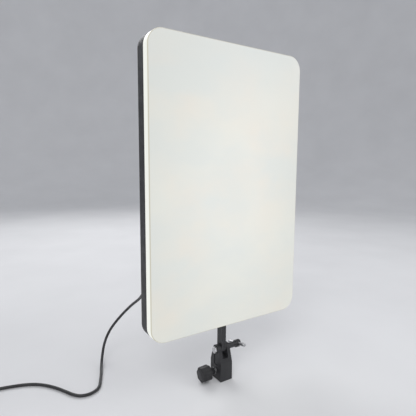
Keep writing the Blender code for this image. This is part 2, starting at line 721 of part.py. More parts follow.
def make_bracket():
    """The forked block that takes a stand's spigot from below and the panel's tongue from above."""
    half = BLOCK_D / 2
    lean = math.degrees(math.atan2(half - EAR_R, TILT_Z - SHOULDER_Z)) * 0.85
    crown = arc((0, TILT_Z), EAR_R, lean, 180 - lean, 12)
    side = [(-half, 0), (half, 0), (half, SHOULDER_Z)] + crown + [(-half, SHOULDER_Z)]
    body = outline("bracket_body", side, BLOCK_W, ACROSS_X, CAST_BLACK)
    softened = body.modifiers.new("edges", "BEVEL")
    softened.width = 0.0008
    softened.segments = 1
    softened.angle_limit = math.radians(50)
    gap = BLOCK_W / 2 - EAR_T
    notch = boxes("fork_notch", [((-gap, -0.03, NOTCH_Z), (gap, 0.03, TILT_Z + 0.02))])
    socket = rods("stand_socket", SOCKET_R, [((0, 0, -0.001), (0, 0, SOCKET_DEPTH))], sides=32)
    bolt_hole = rods("ear_bolt_hole", BOLT_HOLE_R, [((-0.03, 0, TILT_Z), (0.03, 0, TILT_Z))], sides=20)
    screw_hole = rods("lock_screw_hole", BOLT_HOLE_R, [((-0.03, 0, LOCK_Z), (0, 0, LOCK_Z))], sides=20)
    pad_seat = rods("pad_seat", PAD_R + GAP, [((-0.0112, 0, LOCK_Z), (0, 0, LOCK_Z))], sides=20)
    face = BLOCK_W / 2
    grooves = boxes(
        "side_grooves",
        [
            around((side_x, 0, 0.042), (2 * GROOVE_DEPTH, 0.012, 0.022))
            for side_x in (-face, face)
        ],
    )
    cut(body, notch, socket, bolt_hole, screw_hole, pad_seat, grooves)
    near = TONGUE_T / 2 + 0.0002
    far = near + WASHER_T
    washer = [(TONGUE_R, far), (TONGUE_R, near), (BOLT_HOLE_R, near), (BOLT_HOLE_R, far)]
    for label, axis in (("left", "-X"), ("right", "+X")):
        turned(f"friction_washer_{label}", washer, RUBBER, (0, 0, TILT_Z), axis)
    head_x = BLOCK_W / 2 + GAP
    bolt = turned(
        "tilt_bolt",
        [(0, BOLT_END_X), (BOLT_R, BOLT_END_X), (BOLT_R, -head_x), (0, -head_x)],
        STEEL, (0, 0, TILT_Z), "+X", steps=20,
    )
    head_run = ((-head_x - 0.005, 0, TILT_Z), (-head_x + 0.0002, 0, TILT_Z))
    unite(bolt, rods("bolt_hex", 0.0075, [head_run], sides=6))


def make_tilt_handle():
    """The T-handle nut that clamps the ears on the tongue."""
    low, high = HUB_X
    rim = HUB_NECK_R + 0.0015
    start = BLOCK_W / 2 + 0.0006
    hub = turned(
        "tilt_handle_hub",
        [
            (0, high), (HUB_R - 0.0015, high), (HUB_R, high - 0.0015), (HUB_R, low + 0.0015),
            (HUB_NECK_R, low), (HUB_NECK_R, start + 0.002), (rim, start + 0.002), (rim, start),
            (BOLT_HOLE_R, start), (BOLT_HOLE_R, BOLT_END_X + GAP), (0, BOLT_END_X + GAP),
        ],
        CAST_BLACK, (0, 0, TILT_Z), "+X",
    )
    along = Vector((0, -math.cos(BAR_RISE), math.sin(BAR_RISE)))
    centre = Vector(((low + high) / 2, 0, TILT_Z))
    bore_run = (centre - along * 0.02, centre + along * 0.02)
    cut(hub, rods("handle_bar_bore", BAR_R + GAP, [bore_run], sides=20))
    half = BAR_LENGTH / 2
    end = BAR_R + 0.0006
    tip = [(0, half), (end * 0.6, half), (end, half - 0.0015), (end, half - 0.009), (BAR_R, half - 0.0105)]
    other_tip = [(radius, -at) for radius, at in reversed(tip)]
    bar = turned("tilt_handle_bar", tip + other_tip, STEEL, centre, "+Z", steps=16)
    bar.rotation_euler = Vector((0, 0, 1)).rotation_difference(along).to_euler()
    ride("tilt_handle_axis", (0, 0, TILT_Z), hub, bar)


def make_stand_lock():
    """The lobed knob, its screw and the pad that presses on the stand's spigot."""
    outer, inner = KNOB_X
    bm = bmesh.new()
    bmesh.ops.create_cone(
        bm, cap_ends=True, segments=KNOB_LOBES * 8, radius1=KNOB_R, radius2=KNOB_R * 0.93, depth=inner - outer
    )
    caps = [e for e in bm.edges if abs(e.verts[0].co.z - e.verts[1].co.z) < 1e-6]
    bmesh.ops.bevel(bm, geom=caps, offset=0.0022, segments=2, profile=0.5, affect="EDGES")
    for vert in bm.verts:
        angle = math.atan2(vert.co.y, vert.co.x)
        dip = 1 - 0.055 * (1 - math.cos(KNOB_LOBES * angle))
        vert.co.x *= dip
        vert.co.y *= dip
    middle = ((outer + inner) / 2, 0, LOCK_Z)
    knob = place("lock_knob", to_mesh("lock_knob", bm, 50), BLACK_PLASTIC, middle, AXIS_TURNS["-X"])
    axis = (0, 0, LOCK_Z)
    collar_end = -BLOCK_W / 2 - LOCK_TRAVEL - 0.0005
    collar_start = collar_end - 0.003
    screw_start, screw_end = LOCK_SCREW_X
    neck_run = ((inner - 0.002, 0, LOCK_Z), (collar_start - GAP, 0, LOCK_Z))
    bore_run = ((screw_start - GAP, 0, LOCK_Z), axis)
    seat_run = ((outer - 0.001, 0, LOCK_Z), (outer + 0.0012, 0, LOCK_Z))
    unite(knob, rods("knob_neck", NECK_R, [neck_run], sides=24))
    cut(knob, rods("knob_bore", BOLT_HOLE_R, [bore_run], sides=20))
    cut(knob, rods("cap_seat", CAP_R + GAP, [seat_run], sides=28))
    hole = BOLT_HOLE_R
    ring = [(NECK_R, collar_end), (NECK_R, collar_start), (hole, collar_start), (hole, collar_end)]
    collar = turned("lock_collar", ring, STEEL, axis, "+X")
    tip = [(0, screw_end), (BOLT_R - 0.001, screw_end), (BOLT_R, screw_end - 0.001)]
    screw = turned("lock_screw", tip + [(BOLT_R, screw_start), (0, screw_start)], STEEL, axis, "+X", steps=20)
    face = outer - 0.0006
    back = face + 0.0015
    disc = [(0, back), (CAP_R, back), (CAP_R, face + 0.0005), (CAP_R - 0.0012, face), (0, face)]
    cap = turned("knob_cap", disc, CAST_BLACK, axis, "+X", steps=28)
    pad_back, pad_face = PAD_X
    button = [
        (0, pad_face), (PAD_R - 0.0008, pad_face), (PAD_R, pad_face - 0.0007), (PAD_R, pad_back), (0, pad_back)
    ]
    pad = turned("pressure_pad", button, ALUMINIUM, axis, "+X", steps=20)
    ride("stand_lock_axis", axis, knob, collar, screw, cap, pad)


def smooth_route(points, spacing):
    """Points every `spacing` along a centripetal Catmull-Rom curve through the route's points."""
    points = [Vector(p) for p in points]
    points = [2 * points[0] - points[1]] + points + [2 * points[-1] - points[-2]]
    fine = []
    for i in range(1, len(points) - 2):
        p0, p1, p2, p3 = points[i - 1 : i + 3]
        t1 = math.sqrt((p1 - p0).length)
        t2 = t1 + math.sqrt((p2 - p1).length)
        t3 = t2 + math.sqrt((p3 - p2).length)
        for step in range(12):
            t = t1 + (t2 - t1) * step / 12
            a1 = p0.lerp(p1, t / t1)
            a2 = p1.lerp(p2, (t - t1) / (t2 - t1))
            a3 = p2.lerp(p3, (t - t2) / (t3 - t2))
            b1 = a1.lerp(a2, t / t2)
            b2 = a2.lerp(a3, (t - t1) / (t3 - t1))
            fine.append(b1.lerp(b2, (t - t1) / (t2 - t1)))
    fine.append(points[-2])
    lengths = [0.0]
    for a, b in zip(fine, fine[1:]):
        lengths.append(lengths[-1] + (b - a).length)
    count = round(lengths[-1] / spacing)
    spaced, at = [], 0
    for i in range(count + 1):
        want = lengths[-1] * i / count
        while at < len(fine) - 2 and lengths[at + 1] < want:
            at += 1
        share = (want - lengths[at]) / (lengths[at + 1] - lengths[at])
        spaced.append(fine[at].lerp(fine[at + 1], min(share, 1.0)))
    return spaced


def coil_point(radius, angle, height=(COIL_LOW + COIL_HIGH) / 2):
    return Vector((COIL_AT[0] + radius * math.cos(angle), COIL_AT[1] + radius * math.sin(angle), height))


def make_cord():
    """The lead from the boot to the coil, the coil of its spare length, the tie and the mains plug."""
    lead_in = math.sqrt((COIL_OUT + GAP + CORD_R) ** 2 - COIL_START_R**2)
    low_turn = COIL_LOW + CORD_R
    high_turn = COIL_HIGH - CORD_R
    touch = coil_point(COIL_START_R, COIL_START, low_turn)
    forward = Vector((-math.sin(COIL_START), math.cos(COIL_START), 0))
    stub_start = touch - forward * lead_in
    route = smooth_route(ROUTE + [tuple(stub_start - forward * GAP)], ROUTE_SPACING)
    curve = bpy.data.curves.new("power_cord", "CURVE")
    curve.dimensions = "3D"
    curve.bevel_depth = CORD_R
    curve.bevel_resolution = 2
    curve.use_fill_caps = True
    spline = curve.splines.new("POLY")
    spline.points.add(len(route) - 1)
    for point, at in zip(spline.points, route):
        point.co = (*at, 1)
    place("power_cord", curve, LEAD)
    coil = turned(
        "cord_coil",
        [
            (COIL_OUT - 0.002, COIL_HIGH), (COIL_OUT, COIL_HIGH - 0.002),
            (COIL_OUT, COIL_LOW + 0.002), (COIL_OUT - 0.002, COIL_LOW),
            (COIL_IN + 0.002, COIL_LOW), (COIL_IN, COIL_LOW + 0.002),
            (COIL_IN, COIL_HIGH - 0.002), (COIL_IN + 0.002, COIL_HIGH),
        ],
        LEAD, (*COIL_AT, 0), "+Z", steps=36,
    )
    lead_out = math.sqrt((COIL_OUT + GAP + CORD_R) ** 2 - COIL_END_R**2)
    leave = coil_point(COIL_END_R, math.pi, high_turn)
    down = Vector((0, -1, 0))
    tail_end = leave + down * lead_out
    stubs = rods("coil_ends", CORD_R, [(stub_start, touch), (leave, tail_end)], sides=12)
    unite(coil, stubs)
    make_tie()
    make_mains_plug(tail_end + down * GAP)


def make_tie():
    """A strap round the coil's turns on its near side."""
    inner_low = math.sqrt(COIL_IN**2 - (TIE_WIDTH / 2) ** 2) - GAP
    inner_high = COIL_OUT + GAP
    top = COIL_HIGH + GAP
    x, y = COIL_AT
    middle = (x, y - (inner_low + inner_high) / 2, (TIE_T + top) / 2)
    inside = Vector((TIE_WIDTH, inner_high - inner_low, top - TIE_T))
    strap = box("coil_tie", *around(middle, inside + Vector((0, 2 * TIE_T, 2 * TIE_T))), RUBBER)
    cut(strap, boxes("tie_inside", [around(middle, inside + Vector((0.002, 0, 0)))]))


def make_mains_plug(start):
    """A two-pin plug lying on the table, its boot against the coil's tail."""
    body_w, body_l, body_t = MAINS_BODY
    x, y, z = start
    boot = rods("plug_boot", 0.0042, [((x, y, z), (x, y - MAINS_BOOT - 0.003, z))], sides=16)
    front = y - MAINS_BOOT - body_l
    plug = box("mains_plug", *around((x, front + body_l / 2, z), (body_w, body_l, body_t)), RUBBER, 0.004)
    unite(plug, boot)
    pin_x = (x - PIN_SPACING / 2, x + PIN_SPACING / 2)
    seat_runs = [((at, front - 0.001, z), (at, front + 0.006, z)) for at in pin_x]
    cut(plug, rods("pin_seats", PIN_R + GAP, seat_runs, sides=14))
    set_in = 0.0055
    tip = PIN_LENGTH + set_in
    pin = [(0, tip), (PIN_R * 0.5, tip), (PIN_R, tip - 0.0015), (PIN_R, 0), (0, 0)]
    for i, at in enumerate(pin_x):
        turned(f"plug_pin_{i + 1}", pin, STEEL, (at, front + set_in, z), "-Y", steps=14)


make_cover()
make_lamps()
make_housing()
make_driver()
make_tongue_block()
make_pod()
make_dials()
make_button_and_switch()
make_bracket()
make_tilt_handle()
make_stand_lock()
make_cord()
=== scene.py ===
"""Looks of the LED panel light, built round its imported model."""

import math

import bmesh
import bpy
from mathutils import Matrix, Vector


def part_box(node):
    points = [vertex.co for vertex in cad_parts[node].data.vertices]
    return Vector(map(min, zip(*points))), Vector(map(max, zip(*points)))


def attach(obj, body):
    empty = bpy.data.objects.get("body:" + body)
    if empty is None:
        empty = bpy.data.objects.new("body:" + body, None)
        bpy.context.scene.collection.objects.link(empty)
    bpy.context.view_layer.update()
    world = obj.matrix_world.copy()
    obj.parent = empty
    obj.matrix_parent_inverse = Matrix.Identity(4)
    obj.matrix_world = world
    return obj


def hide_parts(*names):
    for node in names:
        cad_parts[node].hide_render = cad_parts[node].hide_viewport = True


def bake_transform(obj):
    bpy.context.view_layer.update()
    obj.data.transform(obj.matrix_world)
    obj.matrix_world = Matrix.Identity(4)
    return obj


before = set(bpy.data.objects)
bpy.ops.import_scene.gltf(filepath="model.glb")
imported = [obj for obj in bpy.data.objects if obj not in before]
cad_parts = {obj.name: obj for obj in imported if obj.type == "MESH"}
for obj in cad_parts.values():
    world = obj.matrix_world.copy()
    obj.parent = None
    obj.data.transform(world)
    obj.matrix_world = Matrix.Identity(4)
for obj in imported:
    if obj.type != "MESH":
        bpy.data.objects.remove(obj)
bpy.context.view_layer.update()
scene = bpy.context.scene
UP = Vector((0, 0, 1))

PANEL_CORNER_R = 0.029
SHELL_WALL = 0.002
M8_HOLE_R = 0.0043
M4_HOLE_R = 0.0023
ACROSS_X = Matrix(((0, 0, 1, 0), (1, 0, 0, 0), (0, 1, 0, 0), (0, 0, 0, 1)))


# ---- camera

CAMERA_AT = (-0.4375, -0.6167, 0.4545)
CAMERA_HEADING = math.radians(33.04)
CAMERA_DIP = math.radians(6.80)
CAMERA_ROLL = math.radians(0.34)
LENS_MM = 32.32


def make_camera():
    camera = bpy.data.objects.new("camera", bpy.data.cameras.new("camera"))
    camera.data.lens = LENS_MM
    camera.data.sensor_width = 36
    camera.data.clip_start = 0.01
    turn = (
        Matrix.Rotation(-CAMERA_HEADING, 4, "Z")
        @ Matrix.Rotation(math.pi / 2 - CAMERA_DIP, 4, "X")
        @ Matrix.Rotation(CAMERA_ROLL, 4, "Z")
    )
    camera.matrix_world = Matrix.Translation(CAMERA_AT) @ turn
    scene.collection.objects.link(camera)
    scene.camera = camera


# ---- mesh helpers


def span_of(node):
    """A node's lowest and highest corners, and its middle."""
    low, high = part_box(node)
    return low, high, (low + high) / 2


def middle(node):
    return span_of(node)[2]


def new_object(name, mesh, smooth):
    if smooth:
        mesh.shade_smooth()
        mesh.set_sharp_from_angle(angle=math.radians(smooth))
    made = bpy.data.objects.new(name, mesh)
    scene.collection.objects.link(made)
    return made


def from_bmesh(name, bm, smooth=35):
    bmesh.ops.recalc_face_normals(bm, faces=bm.faces)
    mesh = bpy.data.meshes.new(name)
    bm.to_mesh(mesh)
    bm.free()
    return new_object(name, mesh, smooth)


def add_box(bm, low, high):
    made = bmesh.ops.create_cube(bm, size=1)["verts"]
    low, high = Vector(low), Vector(high)
    bmesh.ops.scale(bm, vec=high - low, verts=made)
    bmesh.ops.translate(bm, vec=(low + high) / 2, verts=made)
    return made


def block(name, low, high, smooth=35):
    """A box as an object of its own."""
    bm = bmesh.new()
    add_box(bm, low, high)
    return from_bmesh(name, bm, smooth)


def along_y(edge):
    a, b = (v.co for v in edge.verts)
    return abs(a.y - b.y) > 0.5 * (a - b).length


def rounded_box(bm, low, high, radius, steps):
    """A box with its four edges along Y rounded."""
    before = set(bm.edges)
    add_box(bm, low, high)
    sides = [e for e in bm.edges if e not in before and along_y(e)]
    bmesh.ops.bevel(bm, geom=sides, offset=radius, segments=steps, profile=0.5, affect="EDGES")


def rounded_block(name, low, high, radius, steps):
    bm = bmesh.new()
    rounded_box(bm, low, high, radius, steps)
    return from_bmesh(name, bm, None)


def rim_at(bm, y):
    return [e for e in bm.edges if all(abs(v.co.y - y) < 1e-6 for v in e.verts)]


def round_rim(bm, y, radius, steps):
    bmesh.ops.bevel(bm, geom=rim_at(bm, y), offset=radius, segments=steps, profile=0.5, affect="EDGES")


def evaluated_mesh(obj):
    bpy.context.view_layer.update()
    return bpy.data.meshes.new_from_object(obj.evaluated_get(bpy.context.evaluated_depsgraph_get()))


def apply_modifiers(obj, smooth=35):
    old = obj.data
    obj.data = evaluated_mesh(obj)
    obj.modifiers.clear()
    bpy.data.meshes.remove(old)
    obj.data.shade_smooth()
    obj.data.set_sharp_from_angle(angle=math.radians(smooth))
    return obj


def boolean(obj, other, operation="DIFFERENCE"):
    """Cuts obj with another shape, joins it on or keeps what both share, and removes the other."""
    step = obj.modifiers.new("shape", "BOOLEAN")
    step.operation = operation
    step.object = other
    apply_modifiers(obj)
    bpy.data.objects.remove(other)
    return obj


def soften(obj, width, segments=3, angle=40, finish=None, edge_finish=None):
    """Rounds the sharp edges that are left, and may give them their own, rubbed finish."""
    bevel = obj.modifiers.new("edges", "BEVEL")
    if edge_finish:
        obj.data.materials.append(finish)
        obj.data.materials.append(edge_finish)
        bevel.material = 1
    bevel.width = width
    bevel.segments = segments
    bevel.angle_limit = math.radians(angle)
    bevel.harden_normals = False
    apply_modifiers(obj, 40)
    normals = obj.modifiers.new("normals", "WEIGHTED_NORMAL")
    normals.keep_sharp = True
    return obj


def frame_along(direction):
    return UP.rotation_difference(Vector(direction)).to_matrix().to_4x4()


def rod(name, start, end, radius, sides):
    start, end = Vector(start), Vector(end)
    bm = bmesh.new()
    place = Matrix.Translation((start + end) / 2) @ frame_along(end - start)
    depth = (end - start).length
    bmesh.ops.create_cone(
        bm, cap_ends=True, segments=sides, radius1=radius, radius2=radius, depth=depth, matrix=place
    )
    return from_bmesh(name, bm)


def hole_in_back(obj, centre, back_y, radius, sides):
    """A hole along Y through a wall whose outer face is at back_y."""
    start = (centre.x, back_y - 0.004, centre.z)
    end = (centre.x, back_y + 0.001, centre.z)
    boolean(obj, rod("hole", start, end, radius, sides))


def turned_ring(bm, place, along, radius, steps):
    turns = [2 * math.pi * i / steps for i in range(steps)]
    return [bm.verts.new(place @ Vector((radius * math.cos(a), radius * math.sin(a), along))) for a in turns]


def bridge(bm, one, two):
    """Faces between two rings of points, either of which may be a single point."""
    steps = max(len(one), len(two))
    if steps == 1:
        return
    for i in range(steps):
        j = (i + 1) % steps
        if len(one) == 1:
            bm.faces.new((one[0], two[i], two[j]))
        elif len(two) == 1:
            bm.faces.new((one[i], one[j], two[0]))
        else:
            bm.faces.new((one[i], one[j], two[j], two[i]))


def lathe(name, profile, at, direction, steps, smooth=35):
    """A solid turned about a line: the profile is (distance along, radius), from one end to the other."""
    place = Matrix.Translation(at) @ frame_along(direction)
    bm = bmesh.new()
    rings = []
    for along, radius in profile:
        if radius < 1e-6:
            rings.append([bm.verts.new(place @ Vector((0, 0, along)))])
        else:
            rings.append(turned_ring(bm, place, along, radius, steps))
    for one, two in zip(rings, rings[1:]):
        bridge(bm, one, two)
    for ring in (rings[0], rings[-1]):
        if len(ring) > 1:
            bm.faces.new(ring)
    return from_bmesh(name, bm, smooth)


def ring_of(name, profile, at, direction, steps):
    """A ring turned from a closed profile of (distance along, radius)."""
    place = Matrix.Translation(at) @ frame_along(direction)
    bm = bmesh.new()
    rows = [turned_ring(bm, place, along, radius, steps) for along, radius in profile]
    for one, two in zip(rows, rows[1:] + rows[:1]):
        bridge(bm, one, two)
    return from_bmesh(name, bm)


def prism(name, outline, low, high, matrix):
    """An outline in a plane, given a thickness from low to high along the plane's normal."""
    bm = bmesh.new()
    face = bm.faces.new([bm.verts.new((u, v, low)) for u, v in outline])
    grown = bmesh.ops.extrude_face_region(bm, geom=[face])["geom"]
    moved = [g for g in grown if isinstance(g, bmesh.types.BMVert)]
    bmesh.ops.translate(bm, vec=(0, 0, high - low), verts=moved)
    bmesh.ops.transform(bm, matrix=matrix, verts=bm.verts)
    return from_bmesh(name, bm)


def arc(centre, radius, start, end, steps):
    turns = [math.radians(start + (end - start) * i / steps) for i in range(steps + 1)]
    return [(centre[0] + radius * math.cos(a), centre[1] + radius * math.sin(a)) for a in turns]


def superellipse(half_u, half_v, power, steps):
    """A rounded rectangle's outline: the smaller the power, the squarer it is."""
    outline = []
    for i in range(steps):
        a = 2 * math.pi * i / steps
        c, s = math.cos(a), math.sin(a)
        u = math.copysign(abs(c) ** power, c) * half_u
        v = math.copysign(abs(s) ** power, s) * half_v
        outline.append((u, v))
    return outline


def join(name, pieces):
    """One object out of several that never move apart."""
    bm = bmesh.new()
    for piece in pieces:
        mesh = evaluated_mesh(piece)
        mesh.transform(piece.matrix_world)
        bm.from_mesh(mesh)
        bpy.data.meshes.remove(mesh)
        bpy.data.objects.remove(piece)
    return from_bmesh(name, bm)


def dress(piece, body, finish, slot, *nodes):
    """Gives a piece its material and its body, and hides the CAD nodes that it stands for."""
    if not piece.data.materials:
        piece.data.materials.append(finish)
    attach(piece, body)
    if nodes:
        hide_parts(*nodes)
    return piece


# ---- materials


class Nodes:
    """Short names for the shader nodes of one material."""

    def __init__(self, name):
        self.material = bpy.data.materials.new(name)
        self.material.use_nodes = True
        self.tree = self.material.node_tree
        self.shader = self.tree.nodes["Principled BSDF"]
        self.spot = self.add("ShaderNodeTexCoord").outputs["Object"]

    def add(self, kind, **settings):
        node = self.tree.nodes.new(kind)
        for name, value in settings.items():
            setattr(node, name, value)
        return node

    def link(self, source, target):
        self.tree.links.new(source, target)

    def noise(self, scale, detail=3.0, roughness=0.5, stretch=(1, 1, 1)):
        mapping = self.add("ShaderNodeMapping")
        mapping.inputs["Scale"].default_value = stretch
        self.link(self.spot, mapping.inputs["Vector"])
        node = self.add("ShaderNodeTexNoise")
        node.inputs["Scale"].default_value = scale
        node.inputs["Detail"].default_value = detail
        node.inputs["Roughness"].default_value = roughness
        self.link(mapping.outputs["Vector"], node.inputs["Vector"])
        return node.outputs["Fac"]

    def span(self, source, low, high, from_low=0.3, from_high=0.7):
        node = self.add("ShaderNodeMapRange")
        node.inputs["From Min"].default_value = from_low
        node.inputs["From Max"].default_value = from_high
        node.inputs["To Min"].default_value = low
        node.inputs["To Max"].default_value = high
        self.link(source, node.inputs["Value"])
        return node.outputs["Result"]

    def mix(self, share, one, two):
        node = self.add("ShaderNodeMix", data_type="RGBA")
        self.link(share, node.inputs["Factor"])
        for socket, value in ((node.inputs["A"], one), (node.inputs["B"], two)):
            if isinstance(value, tuple):
                socket.default_value = (*value, 1)
            else:
                self.link(value, socket)
        return node.outputs["Result"]

    def bump(self, height, strength, distance):
        node = self.add("ShaderNodeBump")
        node.inputs["Strength"].default_value = strength
        node.inputs["Distance"].default_value = distance
        self.link(height, node.inputs["Height"])
        self.link(node.outputs["Normal"], self.shader.inputs["Normal"])

    def share_from_centre(self, centre, reach):
        """0 round a point of the panel's face, and up to 1 away from it."""
        tall_reach = 1.5 * reach
        away = self.add("ShaderNodeMapping")
        away.inputs["Location"].default_value = (-centre.x / reach, 0, -centre.z / tall_reach)
        away.inputs["Scale"].default_value = (1 / reach, 0, 1 / tall_reach)
        self.link(self.spot, away.inputs["Vector"])
        length = self.add("ShaderNodeVectorMath", operation="LENGTH")
        self.link(away.outputs["Vector"], length.inputs[0])
        return self.span(length.outputs["Value"], 0.0, 1.0, 0.35, 1.25)

    def set(self, name, value):
        self.shader.inputs[name].default_value = value

    def feed(self, name, source):
        self.link(source, self.shader.inputs[name])

    def tones(self, noise, one, two):
        """Two colours that drift into each other."""
        return self.mix(self.span(noise, 0.0, 1.0), one, two)


def scaled(colour, share, lift=0):
    return tuple(share * part + lift for part in colour)


def moulded_plastic(name, colour, other, roughness, grain=2600):
    """Fine moulded grain, with a little dust and handling shine."""
    n = Nodes(name)
    tone = n.tones(n.noise(14, 5), colour, other)
    dust = n.span(n.noise(620, 4, 0.7), 0.0, 0.22, 0.58, 0.74)
    n.feed("Base Color", n.mix(dust, tone, scaled(colour, 0.6, 0.12)))
    n.feed("Roughness", n.span(n.noise(45, 6), roughness - 0.07, roughness + 0.08))
    n.bump(n.noise(grain, 2, 0.6), 0.22, 0.0002)
    n.set("Specular IOR Level", 0.42)
    return n.material


def painted_casting(name, rub_from, rub_to):
    """Black paint over a die casting: a slight orange peel, rubbed through to the metal in places."""
    n = Nodes(name)
    tone = n.tones(n.noise(20, 6), (0.018, 0.018, 0.020), (0.027, 0.027, 0.030))
    share = n.span(n.noise(260, 6, 0.62), 0.0, 1.0, rub_from, rub_to)
    n.feed("Base Color", n.mix(share, tone, (0.34, 0.34, 0.35)))
    n.feed("Metallic", n.span(share, 0.0, 0.9, 0, 1))
    n.feed("Roughness", n.span(n.noise(80, 5), 0.34, 0.50))
    n.bump(n.noise(900, 3), 0.30, 0.0002)
    return n.material


def metal(name, colour, dark, roughness, stretch, scale=400):
    """Bare metal with fine drawn lines and a little tarnish."""
    n = Nodes(name)
    lines = n.noise(scale, 4, 0.6, stretch)
    n.feed("Base Color", n.mix(n.span(n.noise(60, 5), 0.0, 0.6), colour, dark))
    n.set("Metallic", 1.0)
    n.feed("Roughness", n.span(lines, roughness - 0.08, roughness + 0.12))
    n.bump(lines, 0.12, 0.0001)
    return n.material


def soft_rubber(name, colour=(0.016, 0.016, 0.017), roughness=0.62):
    """Soft black PVC or rubber, with a faint bloom."""
    n = Nodes(name)
    n.feed("Base Color", n.tones(n.noise(90, 5), colour, scaled(colour, 1.9, 0.004)))
    n.feed("Roughness", n.span(n.noise(35, 4), roughness - 0.10, roughness + 0.08))
    n.bump(n.noise(1500, 2), 0.12, 0.0001)
    n.set("Sheen Weight", 0.08)
    n.set("Sheen Roughness", 0.5)
    return n.material


def woven_strap():
    """Hook-and-loop strap: a nap of fine loops."""
    n = Nodes("woven_strap")
    nap = n.noise(2200, 5, 0.7)
    n.feed("Base Color", n.tones(nap, (0.012, 0.012, 0.013), (0.05, 0.05, 0.055)))
    n.feed("Roughness", n.span(nap, 0.80, 0.98))
    n.bump(nap, 0.8, 0.0005)
    n.set("Sheen Weight", 0.3)
    return n.material


def lit_opal():
    """Opal acrylic lit from behind: faint warm and cool clouds, a darker crease and brighter side walls."""
    low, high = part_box("diffuser_cover")
    n = Nodes("lit_opal")
    warm_clouds = n.span(n.noise(5.5, 2, 0.5, (1.3, 1, 1.0)), 0.0, 1.0, 0.40, 0.66)
    warm = n.mix(warm_clouds, (0.755, 0.762, 0.712), (0.775, 0.742, 0.678))
    cool_clouds = n.span(n.noise(9.0, 3, 0.5, (0.9, 1, 1.4)), 0.0, 1.0, 0.38, 0.64)
    cloudy = n.mix(cool_clouds, warm, (0.712, 0.735, 0.708))
    split = n.add("ShaderNodeSeparateXYZ")
    n.link(n.spot, split.inputs["Vector"])
    height = n.span(split.outputs["Z"], 0.0, 0.6, (low.z + 3 * high.z) / 4, high.z)
    cool_top = n.mix(height, cloudy, (0.700, 0.735, 0.735))
    from_centre = n.share_from_centre((low + high) / 2, (high.x - low.x) / 2)
    lamps = n.mix(from_centre, (1, 1, 1), (0.88, 0.88, 0.87))
    shaded = n.add("ShaderNodeMix", data_type="RGBA", blend_type="MULTIPLY")
    shaded.inputs["Factor"].default_value = 1
    n.link(cool_top, shaded.inputs["A"])
    n.link(lamps, shaded.inputs["B"])
    crease = n.span(split.outputs["Y"], 0.0, 1.0, low.y + 0.00005, low.y + 0.0004)
    creased = n.mix(crease, shaded.outputs["Result"], (0.500, 0.480, 0.380))
    side_wall = n.span(split.outputs["Y"], 0.0, 1.0, low.y + 0.0012, low.y + 0.0028)
    n.feed("Emission Color", n.mix(side_wall, creased, (0.800, 0.815, 0.760)))
    n.set("Emission Strength", 0.97)
    n.set("Base Color", (0.10, 0.10, 0.095, 1))
    n.feed("Roughness", n.span(n.noise(30, 4), 0.30, 0.42))
    n.bump(n.noise(700, 3), 0.05, 0.0001)
    n.set("Specular IOR Level", 0.35)
    return n.material


def glass_window():
    n = Nodes("display_glass")
    n.set("Base Color", (0.20, 0.23, 0.24, 1))
    n.feed("Roughness", n.span(n.noise(70, 4), 0.03, 0.09))
    n.set("Alpha", 0.28)
    n.set("Specular IOR Level", 0.6)
    n.material.surface_render_method = "BLENDED"
    return n.material


def glowing(name, colour, strength, dark):
    """A backlit mark, with a slightly uneven glow."""
    n = Nodes(name)
    n.set("Base Color", (*dark, 1))
    n.feed("Emission Color", n.tones(n.noise(300, 3), colour, scaled(colour, 0.8)))
    n.set("Emission Strength", strength)
    n.set("Roughness", 0.4)
    return n.material


def printed(name, colour):
    n = Nodes(name)
    n.feed("Base Color", n.tones(n.noise(900, 3), colour, scaled(colour, 0.82)))
    n.feed("Roughness", n.span(n.noise(500, 2), 0.45, 0.6))
    return n.material


def circuit_board():
    n = Nodes("solder_mask")
    traces = n.span(n.noise(260, 5), 0.0, 1.0, 0.45, 0.55)
    n.feed("Base Color", n.mix(traces, (0.012, 0.060, 0.030), (0.022, 0.105, 0.050)))
    n.feed("Roughness", n.span(n.noise(150, 3), 0.3, 0.5))
    n.bump(n.noise(500, 3), 0.2, 0.0002)
    return n.material


HOUSING = moulded_plastic("housing_plastic", (0.018, 0.018, 0.020), (0.028, 0.028, 0.030), 0.52)
POD = moulded_plastic("pod_plastic", (0.014, 0.014, 0.016), (0.020, 0.020, 0.022), 0.42, grain=3600)
KNOB = moulded_plastic("knob_plastic", (0.016, 0.016, 0.017), (0.030, 0.030, 0.032), 0.48, grain=1800)
WHITE = moulded_plastic("white_plastic", (0.72, 0.72, 0.70), (0.80, 0.80, 0.78), 0.45)
PAINT = painted_casting("bracket_paint", 0.74, 0.80)
WORN_PAINT = painted_casting("bracket_worn_edge", 0.46, 0.68)
STEEL = metal("zinc_steel", (0.52, 0.52, 0.53), (0.38, 0.38, 0.39), 0.30, (1, 1, 12))
BRIGHT = metal("bright_steel", (0.68, 0.68, 0.69), (0.50, 0.50, 0.50), 0.24, (6, 1, 6), 700)
ALUMINIUM = metal("satin_aluminium", (0.66, 0.67, 0.69), (0.55, 0.56, 0.58), 0.36, (1, 1, 30))
NICKEL = metal("nickel_pins", (0.62, 0.60, 0.55), (0.45, 0.43, 0.38), 0.26, (1, 10, 1))
RUBBER = soft_rubber("soft_rubber")
JACKET = soft_rubber("cord_jacket", (0.014, 0.014, 0.015), 0.50)
STRAP = woven_strap()
OPAL = lit_opal()
GLASS = glass_window()
SEGMENT = glowing("display_segment", (0.35, 0.85, 0.80), 1.6, (0.02, 0.05, 0.05))
SCREEN = glowing("display_screen", (0.02, 0.07, 0.08), 0.8, (0.01, 0.02, 0.02))
INK = printed("white_print", (0.72, 0.72, 0.70))
BOARD = circuit_board()


# ---- the mains lead

